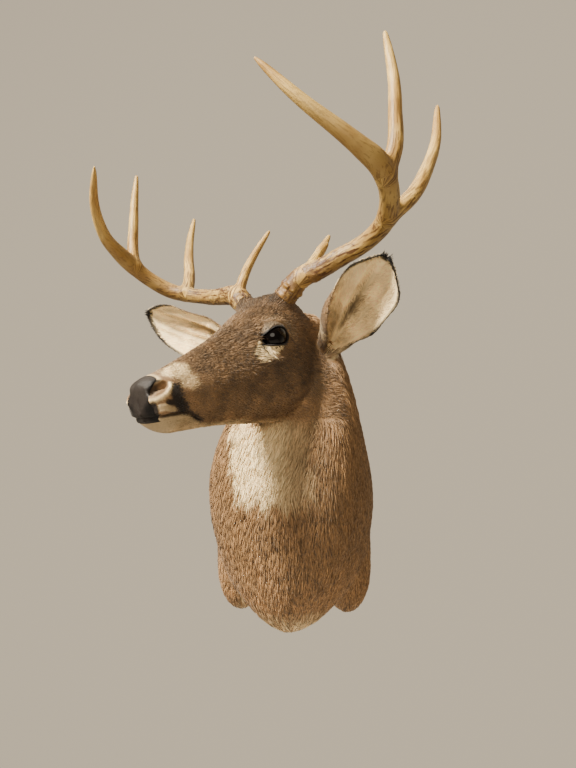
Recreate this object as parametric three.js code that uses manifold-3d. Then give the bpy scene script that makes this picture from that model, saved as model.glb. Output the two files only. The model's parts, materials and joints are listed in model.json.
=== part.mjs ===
// A white-tailed buck's shoulder mount, life size, in millimetres. +Z is up. The wall is the plane Y =
// 0 and the mount stands out from it towards -Y. The origin is the middle of the backboard's face on
// the wall. The neck leaves the wall, the head is turned to the deer's right (-X), and each antler
// carries a brow tine, two upright tines and the beam's own point.
import * as THREE from "three";
import { mergeVertices } from "three/addons/utils/BufferGeometryUtils.js";
import Module from "manifold-3d";

const wasm = await Module();
wasm.setup();

// ---- driving dimensions -------------------------------------------------------------------------

const GAP = 0.35; // clear space between neighbouring pieces
const CUT_REACH = 1400; // a thin cut's plate passes right through the mount
const FORK_CUT_REACH = 90; // and one across an antler beam passes through the beam only
const WELD = 1e-4; // corners closer than this are one corner
const HEAD_SEAT = 0.45; // the neck's seat is this much larger than the head all round
const FLESH_LIFT = 0.55; // ears and shoulders stand off the head and body by this
const BEAM_CLEAR = 0.42; // tines stand off their beam and burr by this
const WALL_BLOCK = [800, 200, 1200]; // everything behind the wall plane that a piece could reach

// The head has its own frame: its origin midway between the eyes, +x to the deer's left, -y to the
// nose, +z up.
const EYES_OUT = 332; // from the wall to the point midway between the eyes
const EYES_UP = 265; // from the origin up to the same point
const HEAD_TURN = -30.7; // degrees about Z: the nose goes towards the deer's right
const HEAD_NOD = 6.4; // degrees: the nose drops

const HEAD_SIDES = 24; // points round a section of the head
const HEAD_STEP = 13; // distance between sections of the head
const BODY_SIDES = 30;
const BODY_RINGS = 18;

// Heights of a section's shoulders, as shares of its height measured down from its top.
const BROW_LEVEL = 0.15;
const CHEEK_LEVEL = 0.47;
const JAW_LEVEL = 0.84;

// The head's lines. "ahead" is the distance in front of the eyes, top and bottom are heights, and brow,
// cheek and jaw are half widths at the three levels.
const HEAD_LINES = [
  { ahead: 186, top: -59, bottom: -88, brow: 14, cheek: 21, jaw: 14 }, // flat front of the nose
  { ahead: 181, top: -51, bottom: -96, brow: 19, cheek: 28, jaw: 19 }, // rim of the nose
  { ahead: 171, top: -46, bottom: -107, brow: 22, cheek: 33, jaw: 25 }, // nostrils
  { ahead: 155, top: -40, bottom: -114, brow: 21, cheek: 33, jaw: 27 }, // chin
  { ahead: 130, top: -28, bottom: -114, brow: 18, cheek: 32, jaw: 27 },
  { ahead: 100, top: -13, bottom: -113, brow: 19, cheek: 35, jaw: 29 }, // middle of the muzzle
  { ahead: 65, top: 6, bottom: -113, brow: 24, cheek: 41, jaw: 33 },
  { ahead: 30, top: 29, bottom: -114, brow: 36, cheek: 50, jaw: 38 }, // front corner of the eye
  { ahead: -5, top: 50, bottom: -115, brow: 49, cheek: 60, jaw: 42 }, // eye
  { ahead: -35, top: 66, bottom: -116, brow: 50, cheek: 64, jaw: 45 }, // back of the orbit
  { ahead: -60, top: 72, bottom: -114, brow: 46, cheek: 62, jaw: 45 }, // antlers, corner of the jaw
  { ahead: -85, top: 64, bottom: -106, brow: 40, cheek: 57, jaw: 42 },
  { ahead: -108, top: 46, bottom: -90, brow: 34, cheek: 49, jaw: 36 }, // ears
  { ahead: -124, top: 22, bottom: -62, brow: 22, cheek: 32, jaw: 22 }, // back of the skull, inside the neck
];

// The neck's and chest's lines, from the wall to the skull. "nape" and "throat" are [out from the wall,
// height], crest, side and keel are half widths at the three levels, and x and turn place the ring
// sideways.
const BODY_LINES = [
  { nape: [0, 165], throat: [0, -152], crest: 98, side: 138, keel: 110, x: 23, turn: 0 }, // on the wall
  { nape: [45, 203], throat: [72, -172], crest: 94, side: 142, keel: 104, x: 25, turn: 0 },
  { nape: [90, 240], throat: [145, -173], crest: 88, side: 139, keel: 92, x: 31, turn: -2 }, // brisket
  { nape: [135, 273], throat: [207, -142], crest: 81, side: 134, keel: 88, x: 33, turn: -5 },
  { nape: [178, 300], throat: [255, -92], crest: 73, side: 118, keel: 82, x: 42, turn: -9 }, // chest
  { nape: [212, 319], throat: [285, -28], crest: 64, side: 102, keel: 73, x: 50, turn: -14 },
  { nape: [238, 328], throat: [298, 38], crest: 54, side: 84, keel: 56, x: 56, turn: -20 }, // throat
  { nape: [257, 322], throat: [296, 98], crest: 44, side: 58, keel: 39, x: 66, turn: -26 },
  { nape: [270, 300], throat: [284, 148], crest: 32, side: 45, keel: 31, x: 61, turn: -30 },
];

const NECK_CUT_NAPE = [110, 258]; // [out from the wall, height] where the cut between neck and chest starts
const NECK_CUT_THROAT = [240, -108]; // and where it ends

// Shoulders: a rounded muscle low on each side of the chest, cut flat by the wall.
const SHOULDER_RADII = [47, 66, 90];
const SHOULDER_APART = 94; // from the chest's middle line
const SHOULDER_OUT = 34;
const SHOULDER_UP = -83;
const SHOULDER_SLICES = [20, 14];

const EYE_RADIUS = 17.5;
const EYE_APART = 46; // half the distance between the eyeballs' centres
const EYE_AHEAD = -1;
const EYE_SLICES = 16;

const EYE_SOCKET = [10, 22, 14]; // the bowl round the eyeball: outwards, along the face, up
const EYE_SOCKET_OUT = 15; // from the eyeball's centre to the bowl's
const EYE_LOOK = [0.92, -0.39, 0]; // outwards from the left eye
const SOCKET_SLICES = 16;

const MOUTH_FRONT = [186, -93]; // [ahead, height] of the mouth line under the nose
const MOUTH_CORNER = [123, -100];
const NOSE_PAD_TOP = [170, -43]; // the edge of the bare nose
const NOSE_PAD_FOOT = [177, -96];
const NOSTRIL = { at: [27, -171, -64], radii: [9, 8, 6], look: [1, -0.4, 0], slices: 10 };

// Ears: a cupped leaf on a short tube. Stations run from the root to the tip, and inner and outer are
// how far, in degrees, the cup wraps from its keel towards the crown of the head and away from it.
const EAR_ROOT = [58, 86, -6];
const EAR_TIP = [220, 14, 76];
const EAR_FACING = [-0.05, -0.86, -0.42]; // the way the cup opens
const EAR_BACKSWEEP = 12; // the keel bows backwards by this in the middle
const EAR_ARC_POINTS = 8;
const EAR_LINES = [
  { at: 0, radius: 19, inner: 174, outer: 174, thick: 18 },
  { at: 0.1, radius: 21, inner: 150, outer: 160, thick: 17 },
  { at: 0.2, radius: 26, inner: 88, outer: 130, thick: 10 },
  { at: 0.32, radius: 34, inner: 58, outer: 106, thick: 6 },
  { at: 0.46, radius: 41, inner: 50, outer: 96, thick: 5 },
  { at: 0.6, radius: 44, inner: 53, outer: 90, thick: 5 },
  { at: 0.74, radius: 41, inner: 57, outer: 80, thick: 4 },
  { at: 0.87, radius: 31, inner: 58, outer: 70, thick: 4 },
  { at: 0.95, radius: 17, inner: 54, outer: 56, thick: 3 },
  { at: 0.99, radius: 8, inner: 46, outer: 46, thick: 2 },
];

// Antlers, in the head's frame. Each point is [out, behind the eyes, up], and out is measured on the
// antler's side.
const BEAM_SIDES = 12;
const BEAM_STEPS = 24;
const BEAM_FLATNESS = 0.06; // the beam is this much wider one way than round
const BEAM_PATHS = {
  left: [
    [37, 42, 56], [62, 49, 80], [92, 56, 88], [122, 60, 98], [152, 62, 106], [183, 56, 117], [200, 47, 126],
    [218, 25, 139], [228, 2, 153], [230, -19, 166], [222, -42, 180], [211, -62, 195], [186, -96, 226],
    [153, -126, 272],
  ],
  right: [
    [36, 42, 58], [60, 49, 78], [90, 56, 84], [118, 61, 88], [146, 62, 94], [177, 57, 102], [205, 45, 113],
    [224, 20, 132], [232, -4, 151], [231, -29, 167], [221, -60, 184], [206, -83, 205], [188, -100, 226],
    [155, -118, 260],
  ],
};
const BEAM_RADII = [
  { at: 0, radius: 16 },
  { at: 0.1, radius: 14.5 },
  { at: 0.2, radius: 12.8 },
  { at: 0.32, radius: 11.6 },
  { at: 0.43, radius: 12.3 },
  { at: 0.52, radius: 12 },
  { at: 0.62, radius: 13 },
  { at: 0.7, radius: 10.5 },
  { at: 0.8, radius: 8.2 },
  { at: 0.9, radius: 6.2 },
  { at: 0.97, radius: 3.8 },
  { at: 1, radius: 1.4 },
];
const BURR_RADIUS = 19.5;
const BURR_AT = 0.05; // share of the beam's length
const BURR_THICK = 9;
const BURR_SIDES = 16;
const BURR_PROFILE = [
  [0, -1],
  [0.85, -1],
  [1, -0.33],
  [0.96, 0.33],
  [0.76, 1],
  [0, 1],
]; // [share of the burr's radius, share of half its thickness]
const SECOND_FORK = 0.46; // shares of the beam's length where it is parted
const THIRD_FORK = 0.67;
const TINES = {
  brow: {
    left: [[68, 48, 80], [75, 66, 104], [78, 82, 122], [79, 105, 147]],
    right: [[54, 46, 76], [51, 64, 114], [46, 86, 148], [31, 105, 182]],
    radius: 7.2,
  },
  second: {
    left: [[203, 42, 124], [229, 66, 152], [239, 104, 203], [242, 120, 233], [240, 141, 288]],
    right: [[176, 54, 101], [190, 76, 134], [212, 98, 176], [229, 120, 218], [241, 145, 266]],
    radius: 9.5,
  },
  third: {
    left: [[230, -4, 154], [241, 3, 188], [243, 7, 230], [243, 10, 266], [235, 14, 329]],
    right: [[230, -4, 148], [240, 2, 185], [242, 8, 226], [241, 13, 270], [238, 18, 312]],
    radius: 9,
  },
};
const TINE_SIDES = 8;
const TINE_STEPS = 8;
const TINE_BLUNTNESS = 0.42; // the power of the taper: smaller keeps the tine thick for longer
const TINE_FLATNESS = 0.08;
const TINE_POINT = 1; // radius at the very tip
const BROW_SPUR = [[77, 80, 120], [85, 89, 130]]; // a short second point on the left brow tine
const SPUR_RADIUS = 4;
const SPUR_STEPS = 4;

const BOARD_HALF = [112, 128]; // half width and half height of the oval backboard
const BOARD_THICK = 18;
const BOARD_SIDES = 48;
const BOARD_CENTRE_X = 0;
const HANGER = { width: 64, height: 22, thick: 2, up: 84 };
const POCKET_RUN_ON = 20; // a pocket's cutter passes the wall plane by this

// ---- helpers ------------------------------------------------------------------------------------

const radians = THREE.MathUtils.degToRad;
const vector = (p) => new THREE.Vector3(...p);
const turnFrom = (axis, to) => new THREE.Quaternion().setFromUnitVectors(vector(axis), to.clone().normalize());

// A closed mesh of positions and triangles as a solid, turned to face outwards.
function solidFrom(positions, triangles) {
  const vertProperties = new Float32Array(positions);
  const make = (tris) =>
    new wasm.Manifold(new wasm.Mesh({ numProp: 3, vertProperties, triVerts: new Uint32Array(tris) }));
  const solid = make(triangles);
  if (solid.volume() > 0) return solid;
  const turned = [];
  for (let i = 0; i < triangles.length; i += 3)
    turned.push(triangles[i], triangles[i + 2], triangles[i + 1]);
  return make(turned);
}

// A three.js geometry as a solid, after a matrix.
function solidOf(geometry, matrix = new THREE.Matrix4()) {
  const bare = geometry.clone().applyMatrix4(matrix);
  bare.deleteAttribute("normal");
  bare.deleteAttribute("uv");
  const merged = mergeVertices(bare, WELD);
  return solidFrom(Array.from(merged.attributes.position.array), Array.from(merged.index.array));
}

// A closed skin over rings of points, with a fan at each end.
function loft(rings) {
  const sides = rings[0].length;
  const positions = rings.flat().flatMap((p) => [p.x, p.y, p.z]);
  const triangles = [];
  for (let r = 0; r + 1 < rings.length; r++)
    for (let s = 0; s < sides; s++) {
      const a = r * sides + s;
      const b = r * sides + ((s + 1) % sides);
      triangles.push(a, b, b + sides, a, b + sides, a + sides);
    }
  for (const [ring, first, flip] of [
    [rings[0], 0, true],
    [rings.at(-1), (rings.length - 1) * sides, false],
  ]) {
    const middle = positions.length / 3;
    const centre = ring.reduce((sum, p) => sum.add(p), new THREE.Vector3()).divideScalar(sides);
    positions.push(centre.x, centre.y, centre.z);
    for (let s = 0; s < sides; s++) {
      const next = first + ((s + 1) % sides);
      triangles.push(...(flip ? [next, first + s, middle] : [first + s, next, middle]));
    }
  }
  return solidFrom(positions, triangles);
}

// A value read from a few stations by a smooth curve through them.
function smooth(stations, key, at, name) {
  const n = stations.length;
  const up = stations[n - 1][key] > stations[0][key];
  let i = 0;
  while (i < n - 2 && (up ? stations[i + 1][key] < at : stations[i + 1][key] > at)) i++;
  const [a, b] = [stations[i], stations[i + 1]];
  const slope = (j) => {
    const before = stations[Math.max(0, j - 1)];
    const after = stations[Math.min(n - 1, j + 1)];
    return (after[name] - before[name]) / (after[key] - before[key]);
  };
  const span = b[key] - a[key];
  const t = THREE.MathUtils.clamp((at - a[key]) / span, 0, 1);
  const [t2, t3] = [t * t, t * t * t];
  return (
    a[name] * (2 * t3 - 3 * t2 + 1) +
    b[name] * (3 * t2 - 2 * t3) +
    span * (slope(i) * (t3 - 2 * t2 + t) + slope(i + 1) * (t3 - t2))
  );
}

// A section's corners as [sideways, share of the height below the top]: down one side and back up the
// other.
function section(upper, middle, lower) {
  const half = [[0, 0], [upper, BROW_LEVEL], [middle, CHEEK_LEVEL], [lower, JAW_LEVEL], [0, 1]];
  return { half, right: half.slice(1, 4).reverse() };
}

// Points round a section that hangs from a top point to a bottom point, widened along a sideways
// direction.
function ringBetween(top, bottom, sideways, widths, sides, grow = 0) {
  const { half, right } = section(...widths);
  const down = bottom.clone().sub(top);
  const height = down.length();
  down.normalize();
  const start = top.clone().addScaledVector(down, -grow);
  const place = ([across, share], sign) =>
    start
      .clone()
      .addScaledVector(down, share * (height + 2 * grow))
      .addScaledVector(sideways, sign * (across + (across ? grow : 0)));
  const corners = [...half.map((p) => place(p, 1)), ...right.map((p) => place(p, -1))];
  const curve = new THREE.CatmullRomCurve3(corners, true, "centripetal");
  return curve.getPoints(sides).slice(0, sides);
}

// Swept tube along a smooth path, its radius read from the path's share, with a pointed or blunt end.
function tube(points, radiusAt, sides, steps, ridge = 0) {
  const curve = new THREE.CatmullRomCurve3(points.map(vector), false, "centripetal");
  const frames = curve.computeFrenetFrames(steps, false);
  const rings = [];
  for (let i = 0; i <= steps; i++) {
    const share = i / steps;
    const at = curve.getPointAt(share);
    const ring = [];
    for (let s = 0; s < sides; s++) {
      const angle = (2 * Math.PI * s) / sides;
      const radius = radiusAt(share) * (1 + ridge * Math.cos(2 * angle));
      ring.push(
        at
          .clone()
          .addScaledVector(frames.normals[i], radius * Math.cos(angle))
          .addScaledVector(frames.binormals[i], radius * Math.sin(angle)),
      );
    }
    rings.push(ring);
  }
  return { solid: loft(rings), curve };
}

// A large thin plate through a point, across a direction: subtracting it parts a solid.
function thinCut(point, across, reach = CUT_REACH) {
  const plate = new THREE.BoxGeometry(reach, reach, GAP);
  const turn = turnFrom([0, 0, 1], across);
  return solidOf(plate, new THREE.Matrix4().compose(point, turn, new THREE.Vector3(1, 1, 1)));
}

// Everything behind the wall plane, for cutting a flat back.
function behindWall() {
  const block = new THREE.BoxGeometry(...WALL_BLOCK);
  return solidOf(block, new THREE.Matrix4().makeTranslation(0, WALL_BLOCK[1] / 2, 0));
}

// The largest of a solid's separate bodies.
function largest(solid) {
  return solid.decompose().sort((a, b) => b.volume() - a.volume())[0];
}

// Parts a solid and returns its two large pieces, the one further along a direction first.
function part(solid, point, across, reach) {
  const score = (m) => {
    const box = m.boundingBox();
    const centre = vector(box.min).add(vector(box.max)).multiplyScalar(0.5);
    return centre.dot(across);
  };
  const pieces = solid.subtract(thinCut(point, across, reach)).decompose();
  const large = pieces.sort((a, b) => b.volume() - a.volume()).slice(0, 2);
  return large.sort((a, b) => score(b) - score(a));
}

const headMatrix = new THREE.Matrix4()
  .makeTranslation(0, -EYES_OUT, EYES_UP)
  .multiply(new THREE.Matrix4().makeRotationZ(radians(HEAD_TURN)))
  .multiply(new THREE.Matrix4().makeRotationX(radians(HEAD_NOD)));
const headToWorld = (p) => vector(p).applyMatrix4(headMatrix);
const headDirection = (p) => vector(p).transformDirection(headMatrix);

// ---- flesh --------------------------------------------------------------------------------------

// Skull and muzzle, from the nose to the back of the head, which is sunk in the neck.
function headForm(grow = 0) {
  const first = HEAD_LINES[0].ahead;
  const last = HEAD_LINES.at(-1).ahead;
  const count = Math.round((first - last) / HEAD_STEP);
  const sideways = headDirection([1, 0, 0]);
  const rings = [];
  for (let i = 0; i <= count; i++) {
    const ahead = first + ((last - first) * i) / count;
    const read = (name) => smooth(HEAD_LINES, "ahead", ahead, name);
    const widths = [read("brow"), read("cheek"), read("jaw")];
    const top = headToWorld([0, -ahead, read("top")]);
    const bottom = headToWorld([0, -ahead, read("bottom")]);
    rings.push(ringBetween(top, bottom, sideways, widths, HEAD_SIDES, grow));
  }
  const back = headDirection([0, 1, 0]).multiplyScalar(grow);
  if (grow) rings.push(rings.at(-1).map((p) => p.clone().add(back)));
  return loft(rings);
}

// Neck and chest, from the wall to inside the head.
function bodyForm() {
  const stations = BODY_LINES.map((line, i) => ({
    at: i,
    napeOut: line.nape[0],
    napeUp: line.nape[1],
    throatOut: line.throat[0],
    throatUp: line.throat[1],
    ...line,
  }));
  const rings = [];
  for (let i = 0; i <= BODY_RINGS; i++) {
    const at = ((BODY_LINES.length - 1) * i) / BODY_RINGS;
    const read = (name) => smooth(stations, "at", at, name);
    const turn = radians(read("turn"));
    const sideways = new THREE.Vector3(Math.cos(turn), Math.sin(turn), 0);
    const forward = new THREE.Vector3(Math.sin(turn), -Math.cos(turn), 0);
    const middleOut = (read("napeOut") + read("throatOut")) / 2;
    const reach = (out, up) =>
      new THREE.Vector3(read("x"), -middleOut, up).addScaledVector(forward, out - middleOut);
    const nape = reach(read("napeOut"), read("napeUp"));
    const throat = reach(read("throatOut"), read("throatUp"));
    const widths = [read("crest"), read("side"), read("keel")];
    rings.push(ringBetween(nape, throat, sideways, widths, BODY_SIDES));
  }
  return loft(rings);
}

// One shoulder's muscle, flat against the wall.
function shoulderForm(side) {
  const ball = new THREE.SphereGeometry(1, ...SHOULDER_SLICES);
  const matrix = new THREE.Matrix4()
    .makeTranslation(BODY_LINES[0].x + side * SHOULDER_APART, -SHOULDER_OUT, SHOULDER_UP)
    .multiply(new THREE.Matrix4().makeScale(...SHOULDER_RADII));
  return solidOf(ball, matrix).subtract(behindWall());
}

// ---- eyes, ears, antlers ------------------------------------------------------------------------

function eyeball(side, grow = 0) {
  const ball = new THREE.SphereGeometry(EYE_RADIUS + grow, EYE_SLICES, EYE_SLICES / 2);
  const centre = headToWorld([side * EYE_APART, -EYE_AHEAD, 0]);
  return solidOf(ball, new THREE.Matrix4().makeTranslation(centre.x, centre.y, centre.z));
}

// An ellipsoid in the head's frame, turned so that its first radius points along a direction.
function headEllipsoid(centre, radii, outwards, slices) {
  const ball = new THREE.SphereGeometry(1, slices, slices / 2);
  const turn = turnFrom([1, 0, 0], vector(outwards));
  const place = new THREE.Matrix4().compose(vector(centre), turn, vector(radii));
  return solidOf(ball, headMatrix.clone().multiply(place));
}

function eyeSocket(side) {
  const look = [side * EYE_LOOK[0], EYE_LOOK[1], EYE_LOOK[2]];
  const centre = [side * EYE_APART, -EYE_AHEAD, 0].map((v, i) => v + look[i] * EYE_SOCKET_OUT);
  return headEllipsoid(centre, EYE_SOCKET, look, SOCKET_SLICES);
}

function nostril(side) {
  const [x, y, z] = NOSTRIL.at;
  const [out, back, up] = NOSTRIL.look;
  return headEllipsoid([side * x, y, z], NOSTRIL.radii, [side * out, back, up], NOSTRIL.slices);
}

function earForm(side) {
  const mirrored = ([x, y, z]) => [side * x, y, z];
  const root = vector(mirrored(EAR_ROOT));
  const axis = vector(mirrored(EAR_TIP)).sub(root);
  const along = axis.clone().normalize();
  const facing = vector(mirrored(EAR_FACING));
  facing.addScaledVector(along, -facing.dot(along)).normalize();
  const across = new THREE.Vector3().crossVectors(along, facing).multiplyScalar(side);
  const rings = EAR_LINES.map(({ at, radius, inner, outer, thick }) => {
    const keel = root
      .clone()
      .addScaledVector(axis, at)
      .addScaledVector(facing, -EAR_BACKSWEEP * Math.sin(Math.PI * at));
    const arc = (r, flip) =>
      Array.from({ length: EAR_ARC_POINTS }, (_, i) => {
        const share = i / (EAR_ARC_POINTS - 1);
        const angle = radians(THREE.MathUtils.lerp(-inner, outer, flip ? 1 - share : share));
        return keel
          .clone()
          .addScaledVector(facing, radius - r * Math.cos(angle))
          .addScaledVector(across, r * Math.sin(angle));
      });
    return [...arc(radius, false), ...arc(radius - thick, true)].map((p) => p.applyMatrix4(headMatrix));
  });
  return { solid: loft(rings), along: along.transformDirection(headMatrix) };
}

function beamRadius(share) {
  return smooth(BEAM_RADII, "at", share, "radius");
}

// The burr is the knobbly collar round the antler's foot.
function burr(curve, grow = 0) {
  const at = curve.getPointAt(BURR_AT);
  const along = curve.getTangentAt(BURR_AT);
  const [radius, half] = [BURR_RADIUS + grow, BURR_THICK / 2 + grow];
  const profile = BURR_PROFILE.map(([x, y]) => new THREE.Vector2(x * radius, y * half));
  const turn = turnFrom([0, 1, 0], along);
  const place = new THREE.Matrix4().compose(at, turn, new THREE.Vector3(1, 1, 1));
  return solidOf(new THREE.LatheGeometry(profile, BURR_SIDES), place);
}

// One antler: the beam in three lengths and its three tines, each cut to fit the beam.
function antler(side, flesh) {
  const name = side > 0 ? "left" : "right";
  const placed = (points) => points.map(([x, y, z]) => headToWorld([side * x, y, z]).toArray());
  const path = placed(BEAM_PATHS[name]);
  const swollen = (grow) => (share) => beamRadius(share) + grow;
  const beamTube = (grow) => tube(path, swollen(grow), BEAM_SIDES, BEAM_STEPS, BEAM_FLATNESS);
  const { solid, curve } = beamTube(0);
  const grown = beamTube(BEAM_CLEAR);
  const clear = grown.solid.add(burr(curve, BEAM_CLEAR));
  const rise = curve.getTangentAt(BURR_AT);
  const beam = solid.add(burr(curve)).subtract(flesh).translate(rise.clone().multiplyScalar(GAP).toArray());
  const whole = largest(beam);
  const cutAt = (share) => [curve.getPointAt(share), curve.getTangentAt(share)];
  const [upper, lower] = part(whole, ...cutAt(SECOND_FORK), FORK_CUT_REACH);
  const [tip, middle] = part(upper, ...cutAt(THIRD_FORK), FORK_CUT_REACH);
  const pieces = { beam_lower: lower, beam_middle: middle, beam_tip: tip };
  for (const [tine, shape] of Object.entries(TINES)) {
    const points = placed(shape[name]);
    const radius = (share) => shape.radius * (1 - share) ** TINE_BLUNTNESS + TINE_POINT;
    let made = tube(points, radius, TINE_SIDES, TINE_STEPS, TINE_FLATNESS);
    if (tine === "brow" && side > 0) {
      const thin = (share) => SPUR_RADIUS * (1 - share) + TINE_POINT;
      const spur = tube(placed(BROW_SPUR), thin, TINE_SIDES, SPUR_STEPS);
      made = { ...made, solid: made.solid.add(spur.solid) };
    }
    pieces[`${tine}_tine`] = largest(made.solid.subtract(clear));
  }
  return Object.fromEntries(Object.entries(pieces).map(([key, value]) => [`antler_${name}_${key}`, value]));
}

// ---- backboard ----------------------------------------------------------------------------------

// A form that is grown is a pocket's cutter, so it also runs on behind the wall plane.
function boardForm(grow = 0) {
  const behind = grow ? POCKET_RUN_ON : 0;
  const outline = new THREE.Shape();
  outline.absellipse(0, 0, BOARD_HALF[0] + grow, BOARD_HALF[1] + grow, 0, 2 * Math.PI);
  const plate = new THREE.ExtrudeGeometry(outline, {
    depth: BOARD_THICK + grow + behind,
    bevelEnabled: false,
    curveSegments: BOARD_SIDES / 2,
  });
  const upright = new THREE.Matrix4().makeRotationX(Math.PI / 2);
  return solidOf(plate, upright.setPosition(BOARD_CENTRE_X, behind, 0));
}

function hangerForm(grow = 0) {
  const behind = grow ? POCKET_RUN_ON : 0;
  const { width, height, thick, up } = HANGER;
  const depth = thick + grow + behind;
  const plate = new THREE.BoxGeometry(width + 2 * grow, depth, height + 2 * grow);
  return solidOf(plate, new THREE.Matrix4().makeTranslation(BOARD_CENTRE_X, behind - depth / 2, up));
}

// ---- assembly -----------------------------------------------------------------------------------

function buildPieces() {
  const pieces = {};
  const body = bodyForm();
  const head = headForm();
  const shoulders = [1, -1].map((side) => shoulderForm(side));
  const flesh = head.add(body);

  for (const side of [1, -1]) {
    const name = side > 0 ? "left" : "right";
    pieces[`eye_${name}`] = eyeball(side);
    const { solid, along } = earForm(side);
    const ear = solid.subtract(flesh).translate(along.clone().multiplyScalar(FLESH_LIFT).toArray());
    pieces[`ear_${name}`] = largest(ear);
    const shoulder = shoulders[side > 0 ? 0 : 1].subtract(body);
    const moved = shoulder.translate([side * FLESH_LIFT, 0, -GAP]);
    pieces[`shoulder_${name}`] = largest(moved.subtract(behindWall()));
    Object.assign(pieces, antler(side, flesh));
  }

  let skull = head;
  for (const side of [1, -1])
    skull = skull.subtract(eyeball(side, GAP)).subtract(eyeSocket(side)).subtract(nostril(side));
  pieces.backboard = boardForm().subtract(hangerForm(GAP));
  pieces.hanger_plate = hangerForm();

  const trunk = body.subtract(headForm(HEAD_SEAT)).subtract(boardForm(GAP));
  const [napeOut, napeUp] = NECK_CUT_NAPE;
  const [throatOut, throatUp] = NECK_CUT_THROAT;
  const neckAcross = new THREE.Vector3(0, throatUp - napeUp, throatOut - napeOut).normalize();
  const nape = new THREE.Vector3(BODY_LINES[0].x, -napeOut, napeUp);
  [pieces.neck, pieces.chest] = part(trunk, nape, neckAcross);

  // A cut along a line in the head's side view: the direction square to it, given as a [ahead, height]
  // pair.
  const squareTo = ([ahead1, up1], [ahead2, up2]) => headDirection([0, up1 - up2, ahead1 - ahead2]);
  const mouthAcross = squareTo(MOUTH_FRONT, MOUTH_CORNER);
  const mouthPoint = headToWorld([0, -MOUTH_FRONT[0], MOUTH_FRONT[1]]);
  const [upper, jaw] = part(skull, mouthPoint, mouthAcross);
  pieces.lower_jaw = jaw;
  const padAcross = squareTo(NOSE_PAD_FOOT, NOSE_PAD_TOP);
  const padPoint = headToWorld([0, -NOSE_PAD_TOP[0], NOSE_PAD_TOP[1]]);
  [pieces.nose_pad, pieces.head] = part(upper, padPoint, padAcross);
  return pieces;
}

// ---- materials and meshes -----------------------------------------------------------------------

const MATERIALS = {
  brown_coat: { color: 0x8a6242, roughness: 0.9, metalness: 0 },
  chest_coat: { color: 0x9c6f48, roughness: 0.9, metalness: 0 },
  white_coat: { color: 0xd9c7ac, roughness: 0.9, metalness: 0 },
  nose_leather: { color: 0x2b2725, roughness: 0.45, metalness: 0 },
  glass_eye: { color: 0x0d0a09, roughness: 0.08, metalness: 0 },
  antler_bone: { color: 0xc2a368, roughness: 0.5, metalness: 0 },
  plywood: { color: 0xb78f5e, roughness: 0.7, metalness: 0 },
  steel: { color: 0xa8abad, roughness: 0.4, metalness: 1 },
};

function materialFor(node) {
  if (node.startsWith("antler")) return "antler_bone";
  if (node.startsWith("eye")) return "glass_eye";
  if (node === "nose_pad") return "nose_leather";
  if (node === "backboard") return "plywood";
  if (node === "hanger_plate") return "steel";
  if (node === "lower_jaw") return "white_coat";
  return node === "chest" || node.startsWith("shoulder") ? "chest_coat" : "brown_coat";
}

function meshOf(name, solid) {
  const made = solid.getMesh();
  const geometry = new THREE.BufferGeometry();
  geometry.setAttribute("position", new THREE.BufferAttribute(made.vertProperties, 3));
  geometry.setIndex(new THREE.BufferAttribute(made.triVerts, 1));
  geometry.computeVertexNormals();
  const { color, roughness, metalness } = MATERIALS[materialFor(name)];
  const mesh = new THREE.Mesh(geometry, new THREE.MeshStandardMaterial({ color, roughness, metalness }));
  mesh.name = name;
  return mesh;
}

const mount = new THREE.Group();
for (const [name, solid] of Object.entries(buildPieces())) mount.add(meshOf(name, solid));

export default mount;
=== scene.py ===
# A white-tailed buck's shoulder mount: one skin under a coat of hair tufts, glass eyes, a bare nose and two
# antlers, on an oval backboard. Shapes are worked out in millimetres, in the CAD model's frame.
import json
import math

import bmesh
import bpy
import numpy as np
import openvdb
from mathutils import Matrix, Vector
from mathutils.kdtree import KDTree

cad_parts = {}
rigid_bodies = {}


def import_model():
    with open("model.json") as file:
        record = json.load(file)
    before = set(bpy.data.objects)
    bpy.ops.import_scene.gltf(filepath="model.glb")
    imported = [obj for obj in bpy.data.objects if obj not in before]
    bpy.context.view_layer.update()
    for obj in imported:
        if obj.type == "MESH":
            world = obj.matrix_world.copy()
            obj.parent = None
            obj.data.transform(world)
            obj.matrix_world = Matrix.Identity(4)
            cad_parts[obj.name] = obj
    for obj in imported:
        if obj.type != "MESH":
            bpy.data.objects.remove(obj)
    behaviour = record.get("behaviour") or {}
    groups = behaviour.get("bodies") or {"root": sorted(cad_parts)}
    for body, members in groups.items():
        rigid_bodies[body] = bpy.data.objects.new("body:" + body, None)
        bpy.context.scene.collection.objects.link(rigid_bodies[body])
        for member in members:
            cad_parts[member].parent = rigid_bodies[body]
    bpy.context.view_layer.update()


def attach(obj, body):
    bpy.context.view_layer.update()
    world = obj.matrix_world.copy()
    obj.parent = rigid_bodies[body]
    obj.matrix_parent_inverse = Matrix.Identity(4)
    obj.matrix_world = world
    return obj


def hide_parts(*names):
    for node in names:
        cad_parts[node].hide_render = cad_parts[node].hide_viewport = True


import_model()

MM = 0.001

# ---- sizes, in millimetres ----

EYES_OUT, EYES_UP = 332, 265  # from the wall and from the origin to the point midway between the eyes
HEAD_TURN, HEAD_NOD = -30.7, 6.4  # degrees

LEVELS = (0.15, 0.47, 0.84)  # heights of a section's brow, cheek and jaw, measured down from its top

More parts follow.
